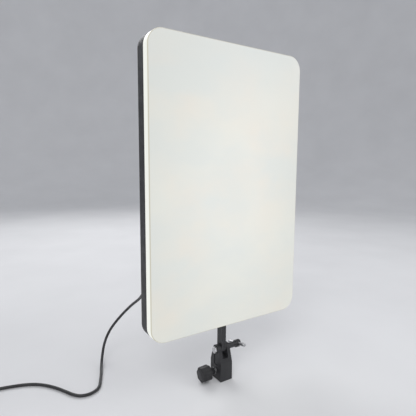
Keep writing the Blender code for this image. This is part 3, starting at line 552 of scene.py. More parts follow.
CORD_R = 0.003
EXIT = (-0.1019, 0.0186, 0.2000)
ROUTE = [
    EXIT,
    (-0.1119, 0.0186, 0.2000),
    (-0.1289, 0.0232, 0.1993),
    (-0.1413, 0.0356, 0.1978),
    (-0.1458, 0.0526, 0.1942),
    (-0.1433, 0.0760, 0.1868),
    (-0.1385, 0.0990, 0.1755),
    (-0.1348, 0.1220, 0.1605),
    (-0.1400, 0.1580, 0.1342),
    (-0.1529, 0.1880, 0.1030),
    (-0.1658, 0.2060, 0.0762),
    (-0.1733, 0.2125, 0.0608),
    (-0.1812, 0.2128, 0.0458),
    (-0.1890, 0.2070, 0.0310),
    (-0.1955, 0.1966, 0.0190),
    (-0.2022, 0.1822, 0.0096),
    (-0.2088, 0.1645, 0.0044),
    (-0.2155, 0.1440, 0.0030),
    (-0.2252, 0.1180, 0.0030),
    (-0.2330, 0.0998, 0.0030),
    (-0.2424, 0.0892, 0.0030),
    (-0.2582, 0.0840, 0.0030),
    (-0.2735, 0.0880, 0.0030),
    (-0.2848, 0.0996, 0.0030),
    (-0.2960, 0.1195, 0.0030),
    (-0.3098, 0.1423, 0.0030),
    (-0.3258, 0.1624, 0.0030),
    (-0.3423, 0.1765, 0.0030),
    (-0.3599, 0.1858, 0.0030),
    (-0.3777, 0.1918, 0.0030),
    (-0.4041, 0.1978, 0.0033),
]
COIL_AT = (-0.462, 0.167)
COIL_LOW = 0.0041
COIL_HIGH = 0.0101
COIL_START_R = 0.042
COIL_START_DEG = 76
COIL_START = math.radians(COIL_START_DEG)
COIL_PITCH = 2 * CORD_R
INWARD_TURNS = 2.5
CLIMB_TURNS = 0.25
COIL_TURNS = 5 + (180 - COIL_START_DEG) / 360
COIL_OUT = 0.0454
COIL_GAP = 0.0003


def smooth_route(points):
    """A fine centripetal curve through the route's points."""
    points = [Vector(p) for p in points]
    points = [2 * points[0] - points[1]] + points + [2 * points[-1] - points[-2]]
    fine = []
    for i in range(1, len(points) - 2):
        p0, p1, p2, p3 = points[i - 1 : i + 3]
        t1 = math.sqrt((p1 - p0).length)
        t2 = t1 + math.sqrt((p2 - p1).length)
        t3 = t2 + math.sqrt((p3 - p2).length)
        for step in range(6):
            t = t1 + (t2 - t1) * step / 6
            a1 = p0.lerp(p1, t / t1)
            a2 = p1.lerp(p2, (t - t1) / (t2 - t1))
            a3 = p2.lerp(p3, (t - t2) / (t3 - t2))
            b1 = a1.lerp(a2, t / t2)
            b2 = a2.lerp(a3, (t - t1) / (t3 - t1))
            fine.append(b1.lerp(b2, (t - t1) / (t2 - t1)))
    return fine + [points[-2]]


def coil_point(turns):
    """The coil winds inward on the table, climbs, and winds outward on top of itself."""
    inner = COIL_START_R - COIL_PITCH * INWARD_TURNS
    climb = min(max((turns - INWARD_TURNS) / CLIMB_TURNS, 0), 1)
    climb = climb * climb * (3 - 2 * climb)
    radius = COIL_START_R - COIL_PITCH * turns
    if turns > INWARD_TURNS:
        radius = inner + COIL_PITCH * max(turns - INWARD_TURNS - CLIMB_TURNS, 0)
    angle = COIL_START + 2 * math.pi * turns
    height = COIL_LOW + (COIL_HIGH - COIL_LOW) * climb
    x = COIL_AT[0] + radius * math.cos(angle)
    y = COIL_AT[1] + radius * math.sin(angle)
    return Vector((x, y, height))


def cord_path():
    """The whole lead: down to the table and along it, straight into the coil, its turns and the tail."""
    lead_in = math.sqrt((COIL_OUT + COIL_GAP + CORD_R) ** 2 - COIL_START_R**2)
    forward = Vector((-math.sin(COIL_START), math.cos(COIL_START), 0))
    start = coil_point(0)
    stub = [start - forward * lead_in * share for share in (1, 0.75, 0.5, 0.25)]
    steps = round(COIL_TURNS * 40)
    turns = [coil_point(COIL_TURNS * i / steps) for i in range(steps + 1)]
    end = Vector((turns[-1].x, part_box("cord_coil")[0].y, COIL_HIGH))
    tail = [turns[-1].lerp(end, share) for share in (0.25, 0.5, 0.75, 1)]
    return smooth_route(ROUTE + [tuple(stub[0])])[:-1] + stub + turns + tail


def tube(name, path, radius, sides):
    """A round tube along a path, its rings carried along without twist."""
    bm = bmesh.new()
    rings = []
    across = (path[1] - path[0]).orthogonal()
    turns = [2 * math.pi * k / sides for k in range(sides)]
    for i, point in enumerate(path):
        ahead = (path[min(i + 1, len(path) - 1)] - path[max(i - 1, 0)]).normalized()
        across = (across - ahead * across.dot(ahead)).normalized()
        other = ahead.cross(across)
        spokes = [math.cos(a) * across + math.sin(a) * other for a in turns]
        rings.append([bm.verts.new(point + radius * spoke) for spoke in spokes])
    for one, two in zip(rings, rings[1:]):
        bridge(bm, one, two)
    bm.faces.new(rings[0][::-1])
    bm.faces.new(rings[-1])
    return from_bmesh(name, bm, 50)


BOOT_END_R = 0.0036


def make_boot(name, start, direction, length, thick, thin, ribs):
    """A tapered strain relief with ribs."""
    first = length * 0.16
    profile = [(0, 0), (0, thick - 0.0006), (0.0006, thick), (first, thick)]
    pitch = (length - first) / ribs
    for i in range(ribs):
        at = first + i * pitch
        outer = thick + (thin - thick) * (i + 1) / ribs
        groove = outer - 0.0008
        profile += [
            (at + 0.05 * pitch, groove + 0.0003), (at + 0.12 * pitch, groove),
            (at + 0.32 * pitch, groove), (at + 0.42 * pitch, outer),
            (at + 0.92 * pitch, outer - 0.0002), (at + 0.99 * pitch, outer - 0.0006),
        ]
    profile += [(length, profile[-1][1] - 0.0002), (length, 0)]
    return lathe(name, profile, start, direction, 40, 50)


def make_cord():
    path = cord_path()
    cord = tube("power_lead", path, CORD_R, 14)
    cord.data.materials.append(JACKET)
    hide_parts("power_cord", "cord_coil")
    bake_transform(cord)
    plug = make_mains_plug()
    strap = make_strap()
    relief = make_inlet_boot()
    connector = make_inlet_plug()


def make_mains_plug():
    """A moulded two-pin plug: a waisted grip that narrows into a ribbed boot."""
    low, high, mid = span_of("mains_plug")
    tail = 0.022
    body_top = high.y - tail
    half_w, half_t = (high.x - low.x) / 2, (high.z - low.z) / 2
    sections = [
        (low.y, 0.97, 0.90), (low.y + 0.003, 1.0, 0.98), (low.y + 0.010, 1.0, 0.98),
        (low.y + 0.018, 0.86, 0.86), (low.y + 0.025, 0.72, 0.78),
        (body_top - 0.002, 0.52, 0.66), (body_top, 0.34, 0.50),
    ]
    bm = bmesh.new()
    rings = []
    for y, wide, tall in sections:
        outline = superellipse(half_w * wide, half_t * tall, 0.45, 32)
        rings.append([bm.verts.new((mid.x + u, y, mid.z + v)) for u, v in outline])
    for one, two in zip(rings, rings[1:]):
        bridge(bm, one, two)
    bm.faces.new(rings[0])
    bm.faces.new(rings[-1])
    body = from_bmesh("plug_body", bm, 40)
    for i in (1, 2):
        at = middle(f"plug_pin_{i}")
        pin_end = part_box(f"plug_pin_{i}")[1].y
        seat = rod("pin_seat", (at.x, low.y - 0.001, at.z), (at.x, pin_end + 0.0005, at.z), 0.0023, 24)
        boolean(body, seat)
    soften(body, 0.0012, 3, 50)
    overlap = 0.001
    boot_at = (mid.x, body_top - overlap, mid.z)
    boot = make_boot("plug_tail", boot_at, (0, 1, 0), tail + overlap, 0.0042, BOOT_END_R, 5)
    plug = join("moulded_plug", [body, boot])
    return dress(plug, "bracket", RUBBER, "rubber", "mains_plug")


def make_strap():
    """The hook-and-loop tie, a flat band round the coil's turns."""
    low, high, mid = span_of("coil_tie")
    thick = 0.0008
    half_y, half_z = (high.y - low.y) / 2, (high.z - low.z) / 2
    outer = superellipse(half_y, half_z, 0.4, 40)
    inner = [(u * (1 - thick / half_y), v * (1 - thick / half_z)) for u, v in outer]
    bm = bmesh.new()
    rings = []
    for x, outline in ((low.x, outer), (high.x, outer), (high.x, inner), (low.x, inner)):
        rings.append([bm.verts.new((x, mid.y + u, mid.z + v)) for u, v in outline])
    for one, two in zip(rings, rings[1:] + rings[:1]):
        bridge(bm, one, two)
    strap = from_bmesh("coil_strap", bm, 60)
    return dress(strap, "bracket", STRAP, "rubber", "coil_tie")


def make_inlet_boot():
    low, high, mid = span_of("strain_relief")
    length, thick = high.x - low.x, (high.z - low.z) / 2
    boot = make_boot("lead_boot", (high.x, mid.y, mid.z), (-1, 0, 0), length, thick, BOOT_END_R, 6)
    return dress(boot, "light_head", RUBBER, "rubber", "strain_relief")


def make_inlet_plug():
    """The small connector: a rounded block with finger ribs."""
    low, high, mid = span_of("inlet_plug")
    pod_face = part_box("control_pod")[0].x - 0.0003
    body = block("inlet_connector", low, (pod_face, high.y, high.z))
    for share in (0.30, 0.45, 0.60):
        x = low.x + (pod_face - low.x) * share
        for z in (low.z, high.z):
            groove = rod("finger_groove", (x, low.y - 0.002, z), (x, high.y + 0.002, z), 0.0007, 16)
            boolean(body, groove)
    soften(body, 0.0012, 4, 30)
    nose_y, nose_z = 0.0028, 0.0070
    nose_low = (pod_face - 0.002, mid.y - nose_y, mid.z - nose_z)
    nose = block("connector_nose", nose_low, (high.x, mid.y + nose_y, mid.z + nose_z))
    soften(nose, 0.0006, 2)
    return dress(join("inlet_connector", [body, nose]), "light_head", RUBBER, "rubber", "inlet_plug")


# ---- the light head


def open_tray(name, low, high, corner, corner_steps, mouth_y, rim_y, rim, rim_steps):
    """A thin-walled tray along Y, with rounded corners, an open mouth and a soft rim."""
    bm = bmesh.new()
    rounded_box(bm, low, high, corner, corner_steps)
    mouth = [f for f in bm.faces if all(abs(v.co.y - mouth_y) < 1e-6 for v in f.verts)]
    bmesh.ops.delete(bm, geom=mouth, context="FACES_ONLY")
    round_rim(bm, rim_y, rim, rim_steps)
    return shell_of(from_bmesh(name, bm, 30), SHELL_WALL)


def make_cover():
    """The opal cap, with its soft front edge and open back."""
    low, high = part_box("diffuser_cover")
    cover = open_tray("opal_cover", low, high, PANEL_CORNER_R, 20, high.y, low.y, 0.0024, 6)
    return dress(cover, "light_head", OPAL, "opal_diffuser", "diffuser_cover")


def shell_of(obj, thickness):
    """Gives an open surface its wall, on the inner side."""
    centre = sum((v.co for v in obj.data.vertices), Vector()) / len(obj.data.vertices)
    widest = max(obj.data.polygons, key=lambda f: f.area)
    if widest.normal.dot(widest.center - centre) < 0:
        obj.data.flip_normals()
    wall = obj.modifiers.new("wall", "SOLIDIFY")
    wall.thickness = thickness
    wall.offset = -1
    wall.use_even_offset = True
    return apply_modifiers(obj, 30)


def stadium_slots(name, centres, wide, tall, y_low, y_high):
    """Upright slots with round ends, as one cutter."""
    radius = wide / 2 - 0.00002
    bm = bmesh.new()
    for x, z in centres:
        low, high = (x - wide / 2, y_low, z - tall / 2), (x + wide / 2, y_high, z + tall / 2)
        rounded_box(bm, low, high, radius, 6)
    return from_bmesh(name, bm, None)


VENT_ROWS = (0.335, 0.500, 0.610)
VENT_PITCH = 0.011
VENT_COLUMNS = [(i - 7.5) * VENT_PITCH for i in range(16)]
BOARD_POST_X = 0.058
POST_ROOM = 0.0045


def make_housing():
    """The rear casing: a shallow tray with a grooved border, vents and screw holes."""
    low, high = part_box("rear_housing")
    casing = open_tray("rear_casing", low, high, PANEL_CORNER_R, 20, low.y, high.y, 0.0035, 6)
    board_row = VENT_ROWS[0]
    centres = [
        (x, z) for z in VENT_ROWS for x in VENT_COLUMNS
        if z != board_row or abs(abs(x) - BOARD_POST_X) > POST_ROOM
    ]
    boolean(casing, stadium_slots("vents", centres, 0.0034, 0.040, high.y - 0.004, high.y + 0.001))
    boolean(casing, seam_groove(low, high, 0.013, 0.0012))
    for i in range(1, 5):
        hole_in_back(casing, middle(f"housing_screw_{i}"), high.y, 0.0018, 24)
    for i in (1, 2):
        mid = middle(f"tongue_screw_{i}")
        start, end = (mid.x, mid.y, low.z - 0.001), (mid.x, mid.y, low.z + 0.004)
        boolean(casing, rod("bore", start, end, M4_HOLE_R, 24))
    return dress(casing, "light_head", HOUSING, "black_plastic", "rear_housing")


def seam_groove(low, high, inset, width):
    """A shallow groove that follows the casing's border."""
    depth = 0.0006
    outer = inset_block("groove", low, high, inset, high.y - depth, high.y + 0.001, 0.020)
    core = inset_block("groove_core", low, high, inset + width, high.y - 0.005, high.y + 0.005, 0.0190)
    return boolean(outer, core)


def inset_block(name, low, high, inset, y_low, y_high, radius):
    block_low = (low.x + inset, y_low, low.z + inset)
    return rounded_block(name, block_low, (high.x - inset, y_high, high.z - inset), radius, 14)


def screw_head(node, direction, radius, height, body, shank=None):
    """A cross-recess pan head with its shank, in place of a CAD screw."""
    low, high, mid = span_of(node)
    direction = Vector(direction)
    size = abs((high - low).dot(direction))
    tip = mid - direction * size / 2
    shank_r = shank or radius * 0.52
    neck = size - height
    profile = [(0, 0), (0.0004, shank_r - 0.0004), (0.0008, shank_r), (neck, shank_r), (neck, radius)]
    profile += [
        (neck + height * math.sin(a), radius * (0.35 + 0.65 * math.cos(a)))
        for a in [math.pi / 2 * i / 6 for i in range(1, 7)]
    ]
    profile.append((size, 0))
    screw = lathe(f"{node}_shape", profile, tip, direction, 32)
    top = tip + direction * size
    side = direction.orthogonal().normalized()
    for across in (side, direction.cross(side)):
        reach = radius * 0.62
        slot = block("slot", (-reach, -0.0004, -height * 0.55), (reach, 0.0004, 0.001), None)
        third = direction.cross(across)
        slot.matrix_world = Matrix.Translation(top) @ Matrix((across, third, direction)).transposed().to_4x4()
        boolean(screw, slot)
    return dress(screw, body, STEEL, "steel", node)


def make_pod():
    """The control pod: a soft-edged shell, sunk display, printed scales, dials, button and switch."""
    low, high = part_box("control_pod")
    pod = open_tray("pod_shell", low, high, 0.010, 12, low.y, high.y, 0.0026, 5)
    window_low, window_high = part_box("display_window")
    edge = Vector((0.0003, 0, 0.0003))
    boolean(pod, cut_box(window_low - edge, window_high + edge, high.y, 0.0020))
    frame_low, frame_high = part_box("switch_frame")
    inner = Vector((0.0014, 0, 0.0014))
    boolean(pod, cut_box(frame_low + inner, frame_high - inner, high.y, 0.0006))
    for node, gap in (("brightness_shaft", 0.0005), ("colour_shaft", 0.0005), ("mode_button", -0.0007)):
        part_low, part_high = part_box(node)
        hole_in_back(pod, middle(node), high.y, (part_high.x - part_low.x) / 2 + gap, 40)
    inlet_low, inlet_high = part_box("mains_inlet")
    room = 0.0003
    opening_low = (low.x - 0.001, inlet_low.y - room, inlet_low.z - room)
    opening_high = (low.x + 0.003, inlet_high.y + room, inlet_high.z + room)
    boolean(pod, block("inlet_opening", opening_low, opening_high, None))
    dress(pod, "light_head", POD, "black_plastic", "control_pod")
    make_prints(high.y)
    make_display()
    for label in ("brightness", "colour"):
        make_dial(label)


def cut_box(low, high, y, radius):
    """A cutter for an opening through a face at y."""
    return rounded_block("opening", (low.x, y - 0.004, low.z), (high.x, y + 0.001, high.z), radius, 6)


INK_THICK = 0.00012


def flat_mark(bm, points, y):
    """A printed mark, raised by the thickness of its ink."""
    back = [bm.verts.new((x, y - INK_THICK, z)) for x, z in points]
    front = [bm.verts.new((x, y + INK_THICK, z)) for x, z in points]
    bm.faces.new(back)
    bm.faces.new(front[::-1])
    bridge(bm, back, front)


def spoke_mark(bm, centre, degrees, inner, outer, half_width, y):
    """A short printed line that points away from a centre."""
    a = math.radians(degrees)
    out = Vector((math.cos(a), math.sin(a)))
    across = Vector((-out.y, out.x)) * half_width
    corners = [out * inner - across, out * outer - across, out * outer + across, out * inner + across]
    flat_mark(bm, [(centre[0] + c.x, centre[1] + c.y) for c in corners], y)


def make_prints(y):
    """Scale ticks round the dials, a sun and a half disc, the button's ring and the switch's marks."""
    bm = bmesh.new()
    for label in ("brightness", "colour"):
        low, high, mid = span_of(f"{label}_dial")
        reach = (high.x - low.x) / 2
        inner = reach + 0.0010
        for i in range(11):
            long = 0.0022 if i % 5 == 0 else 0.0013
            spoke_mark(bm, (mid.x, mid.z), -45 + 27 * i, inner, inner + long, 0.00022, y)
        icon = (mid.x, mid.z + reach + 0.0060)
        if label == "brightness":
            flat_mark(bm, arc(icon, 0.0011, 0, 345, 23), y)
            for i in range(8):
                spoke_mark(bm, icon, 45 * i, 0.0016, 0.0024, 0.00016, y)
        else:
            flat_mark(bm, arc(icon, 0.0018, 90, 270, 16), y)
            rim_marks(bm, icon, 0.0018, 0.0015, -90, 90, y)
    mid = middle("mode_button")
    rim_marks(bm, (mid.x, mid.z), 0.0066, 0.0062, 0, 360, y)
    low, high, mid = span_of("switch_frame")
    left, right = low.x - 0.0040, low.x - 0.0036
    bottom, top = mid.z - 0.0012, mid.z + 0.0012
    flat_mark(bm, [(left, bottom), (right, bottom), (right, top), (left, top)], y)
    rim_marks(bm, (high.x + 0.0040, mid.z), 0.0013, 0.0009, 0, 360, y)
    prints = from_bmesh("panel_prints", bm, None)
    dress(prints, "light_head", INK, "white_plastic")


def rim_marks(bm, centre, outer, inner, start, end, y):
    """A printed arc, as short joined bars."""
    steps = 24
    for i in range(steps):
        a = start + (end - start) * i / steps
        b = start + (end - start) * (i + 1) / steps
        flat_mark(bm, arc(centre, outer, a, b, 1) + arc(centre, inner, b, a, 1), y)


def make_display():
    """The screen behind the window, with two rows of lit blocks."""
    low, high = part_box("display_window")
    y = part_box("display_module")[1].y
    border, screen_y, block_y = 0.0008, y + 0.00012, y + 0.00026
    screen_low = (low.x + border, y - 0.0003, low.z + border)
    screen = block("display_screen", screen_low, (high.x - border, screen_y, high.z - border))
    dress(screen, "light_head", SCREEN, "black_plastic")
    bm = bmesh.new()
    margin = 0.004
    span = (high.x - low.x) - 2 * margin
    half = span / 40
    for row, lit, tall in ((0.30, 13, 0.0030), (0.68, 8, 0.0042)):
        z = low.z + (high.z - low.z) * row
        for i in range(lit):
            x = high.x - margin - span * i / 16
            add_box(bm, (x - half, screen_y, z - tall / 2), (x + half, block_y, z + tall / 2))
    dress(from_bmesh("display_blocks", bm), "light_head", SEGMENT, "white_plastic")


DIAL_GROOVE = 0.013


def make_dial(label):
    """A knurled dial with a soft edge, a dished face and a white pointer."""
    low, high, mid = span_of(f"{label}_dial")
    radius = (high.x - low.x) / 2
    height = high.y - low.y
    teeth = 40
    steps = teeth * 4
    profile = [
        (0, radius * 0.96), (0.0006, radius), (height - 0.0014, radius), (height - 0.0007, radius * 0.985),
        (height - 0.0002, radius * 0.95), (height, radius * 0.90), (height, radius * 0.80),
        (height - 0.0004, radius * 0.70), (height - 0.0006, 0.0),
    ]
    dial = lathe(f"{label}_knob", profile, (mid.x, low.y, mid.z), (0, 1, 0), steps, 30)
    for vert in dial.data.vertices:
        along = vert.co.y - low.y
        out = Vector((vert.co.x - mid.x, vert.co.z - mid.z))
        if 0.0003 < along < height - 0.001 and out.length > radius * 0.97:
            angle = math.atan2(out.y, out.x)
            dip = 1 - DIAL_GROOVE * (1 - math.cos(teeth * angle))
            vert.co.x = mid.x + out.x * dip
            vert.co.z = mid.z + out.y * dip
    start, end = (mid.x, low.y - 0.001, mid.z), (mid.x, low.y + 0.0042, mid.z)
    boolean(dial, rod("shaft_hole", start, end, 0.0032, 32))
    dress(dial, f"{label}_dial", KNOB, "black_plastic", f"{label}_dial")
    half = 0.0004
    pointer_low = (mid.x - half, high.y - 0.0010, mid.z + radius * 0.28)
    pointer_high = (mid.x + half, high.y - 0.00015, mid.z + radius * 0.84)
    pointer = block(f"{label}_pointer", pointer_low, pointer_high)
    dress(pointer, f"{label}_dial", INK, "white_plastic")


# ---- the stand bracket

SOCKET_R = 0.0082
SOCKET_DEPTH = 0.036
PAD_SEAT_R = 0.0053
PAD_SEAT_X = 0.0112
HANDLE_LEAN = math.radians(15)
KNOB_R = 0.0165
KNOB_NECK_R = 0.0075
KNOB_LOBES = 7
KNOB_BODY_END_X = -0.0315
KNOB_BORE_START_X = -0.0478
THREAD_PITCH = 0.00125


def make_bracket():
    """The forked block, with cast side pockets and rounded edges."""
    low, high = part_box("bracket_body")
    axis_z = middle("tilt_bolt").z
    half = high.y
    ear = high.z - axis_z
    shoulder = 0.038
    lean = math.degrees(math.atan2(half - ear, axis_z - shoulder)) * 0.85
    ears = arc((0, axis_z), ear, lean, 180 - lean, 28)
    side = [(-half, 0), (half, 0), (half, shoulder)] + ears + [(-half, shoulder)]
    body = prism("stand_block", side, low.x, high.x, ACROSS_X)
    gap, floor_z, pocket = 0.0065, 0.048, 0.0012
    past = 0.03
    boolean(body, block("fork", (-gap, -past, floor_z), (gap, past, 0.09), None))
    for side_x in (low.x, high.x):
        pocket_low = (side_x - pocket, -0.006, 0.031)
        boolean(body, block("pocket", pocket_low, (side_x + pocket, 0.006, 0.053), None))
    pad_z = middle("pressure_pad").z
    boolean(body, rod("socket", (0, 0, -0.001), (0, 0, SOCKET_DEPTH), SOCKET_R, 64))
    boolean(body, rod("bolt_hole", (-past, 0, axis_z), (past, 0, axis_z), M8_HOLE_R, 40))
    boolean(body, rod("screw_hole", (-past, 0, pad_z), (0, 0, pad_z), M8_HOLE_R, 40))
    boolean(body, rod("pad_seat", (-PAD_SEAT_X, 0, pad_z), (0, 0, pad_z), PAD_SEAT_R, 40))
    soften(body, 0.0007, 3, 30, PAINT, WORN_PAINT)
    return dress(body, "bracket", PAINT, "black_bracket", "bracket_body")


def make_tongue():
    """The tongue that the panel stands on, with a rounded eye and a bolted flange."""
    low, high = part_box("tilt_tongue")
    axis_z = middle("tilt_bolt").z
    radius = axis_z - low.z
    thick = 0.0051
    top = high.z - 0.0015
    outline = [(-radius, top)] + arc((0, axis_z), radius, 180, 360, 28) + [(radius, top)]
    tongue = prism("panel_tongue", outline, -thick, thick, ACROSS_X)
    bm = bmesh.new()
    add_box(bm, (low.x, low.y, high.z - 0.003), high)
    upright = [e for e in bm.edges if abs(e.verts[0].co.z - e.verts[1].co.z) > 0.001]
    bmesh.ops.bevel(bm, geom=upright, offset=0.004, segments=8, profile=0.5, affect="EDGES")
    boolean(tongue, from_bmesh("flange", bm, None), "UNION")
    boolean(tongue, rod("eye", (-0.01, 0, axis_z), (0.01, 0, axis_z), M8_HOLE_R, 40))
    for i in (1, 2):
        x = middle(f"tongue_screw_{i}").x
        boolean(tongue, rod("hole", (x, 0, high.z - 0.01), (x, 0, high.z + 0.001), M4_HOLE_R, 32))
    soften(tongue, 0.0006, 3, 30, PAINT, WORN_PAINT)
    return dress(tongue, "light_head", PAINT, "black_bracket", "tilt_tongue")


def make_tilt_bolt():
    """A hexagon-headed bolt with a chamfered crown."""
    low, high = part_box("tilt_bolt")
    axis_z = (low.z + high.z) / 2
    head_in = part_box("bracket_body")[0].x - 0.0003
    bm = bmesh.new()
    place = Matrix.Translation(((low.x + head_in) / 2, 0, axis_z)) @ frame_along((-1, 0, 0))
    corner_r, depth = 0.0075, head_in - low.x
    bmesh.ops.create_cone(
        bm, cap_ends=True, segments=6, radius1=corner_r, radius2=corner_r, depth=depth, matrix=place
    )
    head = from_bmesh("bolt_head", bm, 30)
    profile = [(-0.001, 0.0085), (0.0033, 0.0085), (0.0050, 0.0062), (0.0052, 0)]
    boolean(head, lathe("crown", profile, (head_in, 0, axis_z), (-1, 0, 0), 64), "INTERSECT")
    soften(head, 0.0002, 2, 25)
    shank = rod("bolt_shank", (head_in - 0.0005, 0, axis_z), (high.x, 0, axis_z), 0.0040, 40)
    dress(join("hex_bolt", [head, shank]), "bracket", BRIGHT, "steel", "tilt_bolt")


def make_tilt_handle():
    """The T-handle nut: a necked hub and a cross bar with swollen ends."""
    low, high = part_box("tilt_handle_hub")
    axis_z = middle("tilt_bolt").z
    bolt_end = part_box("tilt_bolt")[1].x + 0.0004
    long = high.x - low.x
    hub_r, neck = 0.0080, 0.0060
    body = long - 0.014
    profile = [
        (0, 0), (0, neck + 0.0009), (0.0006, neck + 0.0015), (0.0016, neck + 0.0015),
        (0.0024, neck + 0.0003), (0.0032, neck), (body, neck), (body + 0.0006, neck + 0.0008),
        (body + 0.0016, hub_r - 0.0004), (body + 0.0024, hub_r), (long - 0.0024, hub_r),
        (long - 0.0010, hub_r - 0.0005), (long - 0.0002, hub_r - 0.0018), (long, hub_r - 0.0030), (long, 0),
    ]
    hub = lathe("handle_hub", profile, (low.x, 0, axis_z), (1, 0, 0), 56)
    boolean(hub, rod("bolt_bore", (low.x - 0.001, 0, axis_z), (bolt_end, 0, axis_z), M8_HOLE_R, 40))
    mid = middle("tilt_handle_bar")
    along = Vector((0, -math.cos(HANDLE_LEAN), math.sin(HANDLE_LEAN)))
    boolean(hub, rod("bar_bore", mid - along * 0.02, mid + along * 0.02, 0.0038, 40))
    dress(hub, "tilt_handle", PAINT, "black_bracket", "tilt_handle_hub")
    half, thick, end = 0.029, 0.0035, 0.0041
    ends = [(0, 0), (0.0001, end * 0.45), (0.0006, end * 0.78), (0.0016, end), (0.0085, end), (0.0100, thick)]
    profile = ends + [(2 * half - along_bar, radius) for along_bar, radius in reversed(ends)]
    bar = lathe("handle_bar", profile, mid - along * half, along, 40)
    dress(bar, "tilt_handle", STEEL, "steel", "tilt_handle_bar")


def make_stand_lock():
    """The lobed knob, its bright collar, its threaded screw and the cap on its face."""
    collar_low, collar_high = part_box("lock_collar")
    axis_z = middle("lock_collar").z
    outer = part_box("lock_knob")[0].x
    radius, neck = KNOB_R, KNOB_NECK_R
    long = KNOB_BODY_END_X - outer
    neck_end = collar_low.x - 0.0003 - outer
    profile = [
        (0, 0), (0, radius * 0.70), (0.0003, radius * 0.84), (0.0012, radius * 0.925),
        (0.0026, radius * 0.955), (long * 0.5, radius * 0.975), (long - 0.0022, radius),
        (long - 0.0008, radius * 0.97), (long, radius * 0.90),
        (long, neck + 0.0010), (long + 0.0006, neck + 0.0002), (long + 0.0012, neck),
        (neck_end, neck), (neck_end, 0),
    ]
    knob = lathe("stand_knob", profile, (outer, 0, axis_z), (1, 0, 0), KNOB_LOBES * 18, 32)
    for vert in knob.data.vertices:
        out = Vector((vert.co.y, vert.co.z - axis_z))
        reach = (out.length - neck) / (radius - neck)
        if reach > 0.2 and vert.co.x < KNOB_BODY_END_X + 1e-5:
            angle = math.atan2(out.y, out.x)
            dip = 1 - 0.052 * min(reach, 1) * (1 - math.cos(KNOB_LOBES * angle))
            vert.co.y = out.x * dip
            vert.co.z = axis_z + out.y * dip
    boolean(knob, rod("cap_seat", (outer - 0.001, 0, axis_z), (outer + 0.0012, 0, axis_z), 0.0095, 56))
    boolean(knob, rod("screw_bore", (KNOB_BORE_START_X, 0, axis_z), (0, 0, axis_z), M8_HOLE_R, 40))
    dress(knob, "lock_knob", KNOB, "black_plastic", "lock_knob")
    ring = collar_high.x - collar_low.x
    profile = [
        (0, M8_HOLE_R), (0, neck - 0.0005), (0.0004, neck), (ring - 0.0006, neck),
        (ring, neck - 0.0006), (ring, M8_HOLE_R),
    ]
    collar = ring_of("knob_collar", profile, (collar_low.x, 0, axis_z), (1, 0, 0), 56)
    dress(collar, "lock_knob", BRIGHT, "steel", "lock_collar")
    make_thread("lock_thread", axis_z)
    cap_low, cap_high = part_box("knob_cap")
    deep = cap_high.x - cap_low.x
    profile = [
        (0, 0), (0, 0.0070), (0.0002, 0.0078), (0.0007, 0.0089), (0.0010, 0.0092), (deep, 0.0092), (deep, 0),
    ]
    cap = lathe("knob_badge", profile, (cap_low.x, 0, axis_z), (1, 0, 0), 64)
    dress(cap, "lock_knob", PAINT, "black_bracket", "knob_cap")


def make_thread(name, axis_z):
    """The lock screw, with fine thread rings along it."""
    low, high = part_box("lock_screw")
    crest, root = 0.0040, 0.0034
    turn = ((0.25, root), (0.55, crest), (0.70, crest))
    long = high.x - low.x
    profile = [(0, 0), (0, root)]
    for i in range(int((long - 0.001) / THREAD_PITCH)):
        profile += [((i + share) * THREAD_PITCH, radius) for share, radius in turn]
    profile += [(long - 0.0006, root), (long, root - 0.0005), (long, 0)]
    screw = lathe(name, profile, (low.x, 0, axis_z), (1, 0, 0), 40, 25)
    dress(screw, "lock_knob", STEEL, "steel", "lock_screw")


# ---- carried-over CAD nodes

CAD_FINISHES = (
    (WHITE, ["diffusion_sheet", "spacer_frame", "driver_terminal", "mode_button"]),
    (WHITE, [f"led_strip_{i}" for i in range(1, 9)]),
    (ALUMINIUM, ["led_plate", "driver_heatsink", "tongue_nut_block", "pressure_pad"]),
    (ALUMINIUM, ["brightness_shaft", "colour_shaft"]),
    (STEEL, ["brightness_encoder", "colour_encoder", "button_switch"]),
    (BOARD, ["driver_board", "control_board"]),
    (POD, ["display_module", "mains_inlet", "switch_frame"]),
    (KNOB, ["driver_capacitor", "power_rocker"]),
    (RUBBER, ["driver_transformer", "friction_washer_left", "friction_washer_right"]),
    (GLASS, ["display_window"]),
    (NICKEL, ["plug_pin_1", "plug_pin_2"]),
)


def finish_cad_nodes():
    for finish, nodes in CAD_FINISHES:
        for node in nodes:
            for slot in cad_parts[node].material_slots:
                slot.material = finish


# ---- stage and light

FLOOR_R = 3.2
SWEEP_R = 2.0
FLOOR_Z = -0.0003
WALL_TOP = 3.4
WALL_TOP_R = 5.3


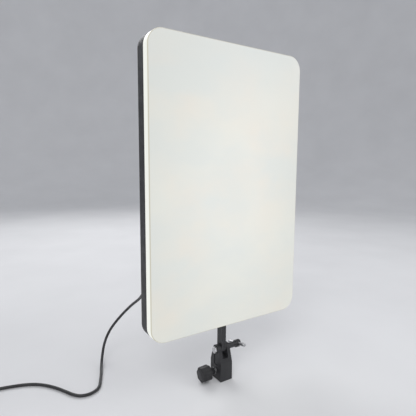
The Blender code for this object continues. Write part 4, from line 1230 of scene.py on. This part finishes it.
def make_stage():
    """A pale sweep: a round floor that curves up into a wall, open to a pale sky."""
    curve = arc((0, SWEEP_R), SWEEP_R, -90, -10, 24)
    rise = [(height + FLOOR_Z, FLOOR_R + out) for out, height in curve]
    floor = lathe("floor", [(FLOOR_Z, 0)] + rise + [(WALL_TOP, WALL_TOP_R)], (0, 0, 0), (0, 0, 1), 96, 60)
    bm = bmesh.new()
    bm.from_mesh(floor.data)
    lid = [f for f in bm.faces if min(v.co.z for v in f.verts) > WALL_TOP - 0.01]
    bmesh.ops.delete(bm, geom=lid, context="FACES_ONLY")
    bmesh.ops.reverse_faces(bm, faces=bm.faces)
    bm.to_mesh(floor.data)
    bm.free()
    n = Nodes("pale_floor")
    n.feed("Base Color", n.tones(n.noise(3, 4), (0.72, 0.72, 0.73), (0.76, 0.76, 0.77)))
    n.set("Roughness", 0.75)
    floor.data.materials.append(n.material)
    world = bpy.data.worlds.new("studio")
    world.use_nodes = True
    sky = world.node_tree.nodes["Background"]
    sky.inputs["Color"].default_value = (0.72, 0.74, 0.78, 1)
    sky.inputs["Strength"].default_value = 0.72
    scene.world = world
    scene.view_settings.view_transform = "Standard"
    soft_light("key", (-1.6, -1.7, 2.1), 1.6, 28)
    soft_light("fill", (1.8, -1.2, 1.4), 1.8, 14)
    soft_light("rear", (0.3, 2.0, 1.9), 1.6, 24)


def soft_light(name, at, size, power):
    light = bpy.data.lights.new(name, "AREA")
    light.size = size
    light.energy = power
    lamp = bpy.data.objects.new(name, light)
    lamp.location = at
    aim = Vector((0, 0, 0.3)) - Vector(at)
    lamp.rotation_euler = aim.to_track_quat("-Z", "Y").to_euler()
    scene.collection.objects.link(lamp)


make_camera()
make_cord()
make_cover()
make_housing()
for number in range(1, 5):
    screw_head(f"housing_screw_{number}", (0, 1, 0), 0.0028, 0.0016, "light_head")
for number in (1, 2):
    screw_head(f"tongue_screw_{number}", (0, 0, -1), 0.0035, 0.0026, "light_head", 0.0020)
make_pod()
make_bracket()
make_tongue()
make_tilt_bolt()
make_tilt_handle()
make_stand_lock()
finish_cad_nodes()
make_stage()
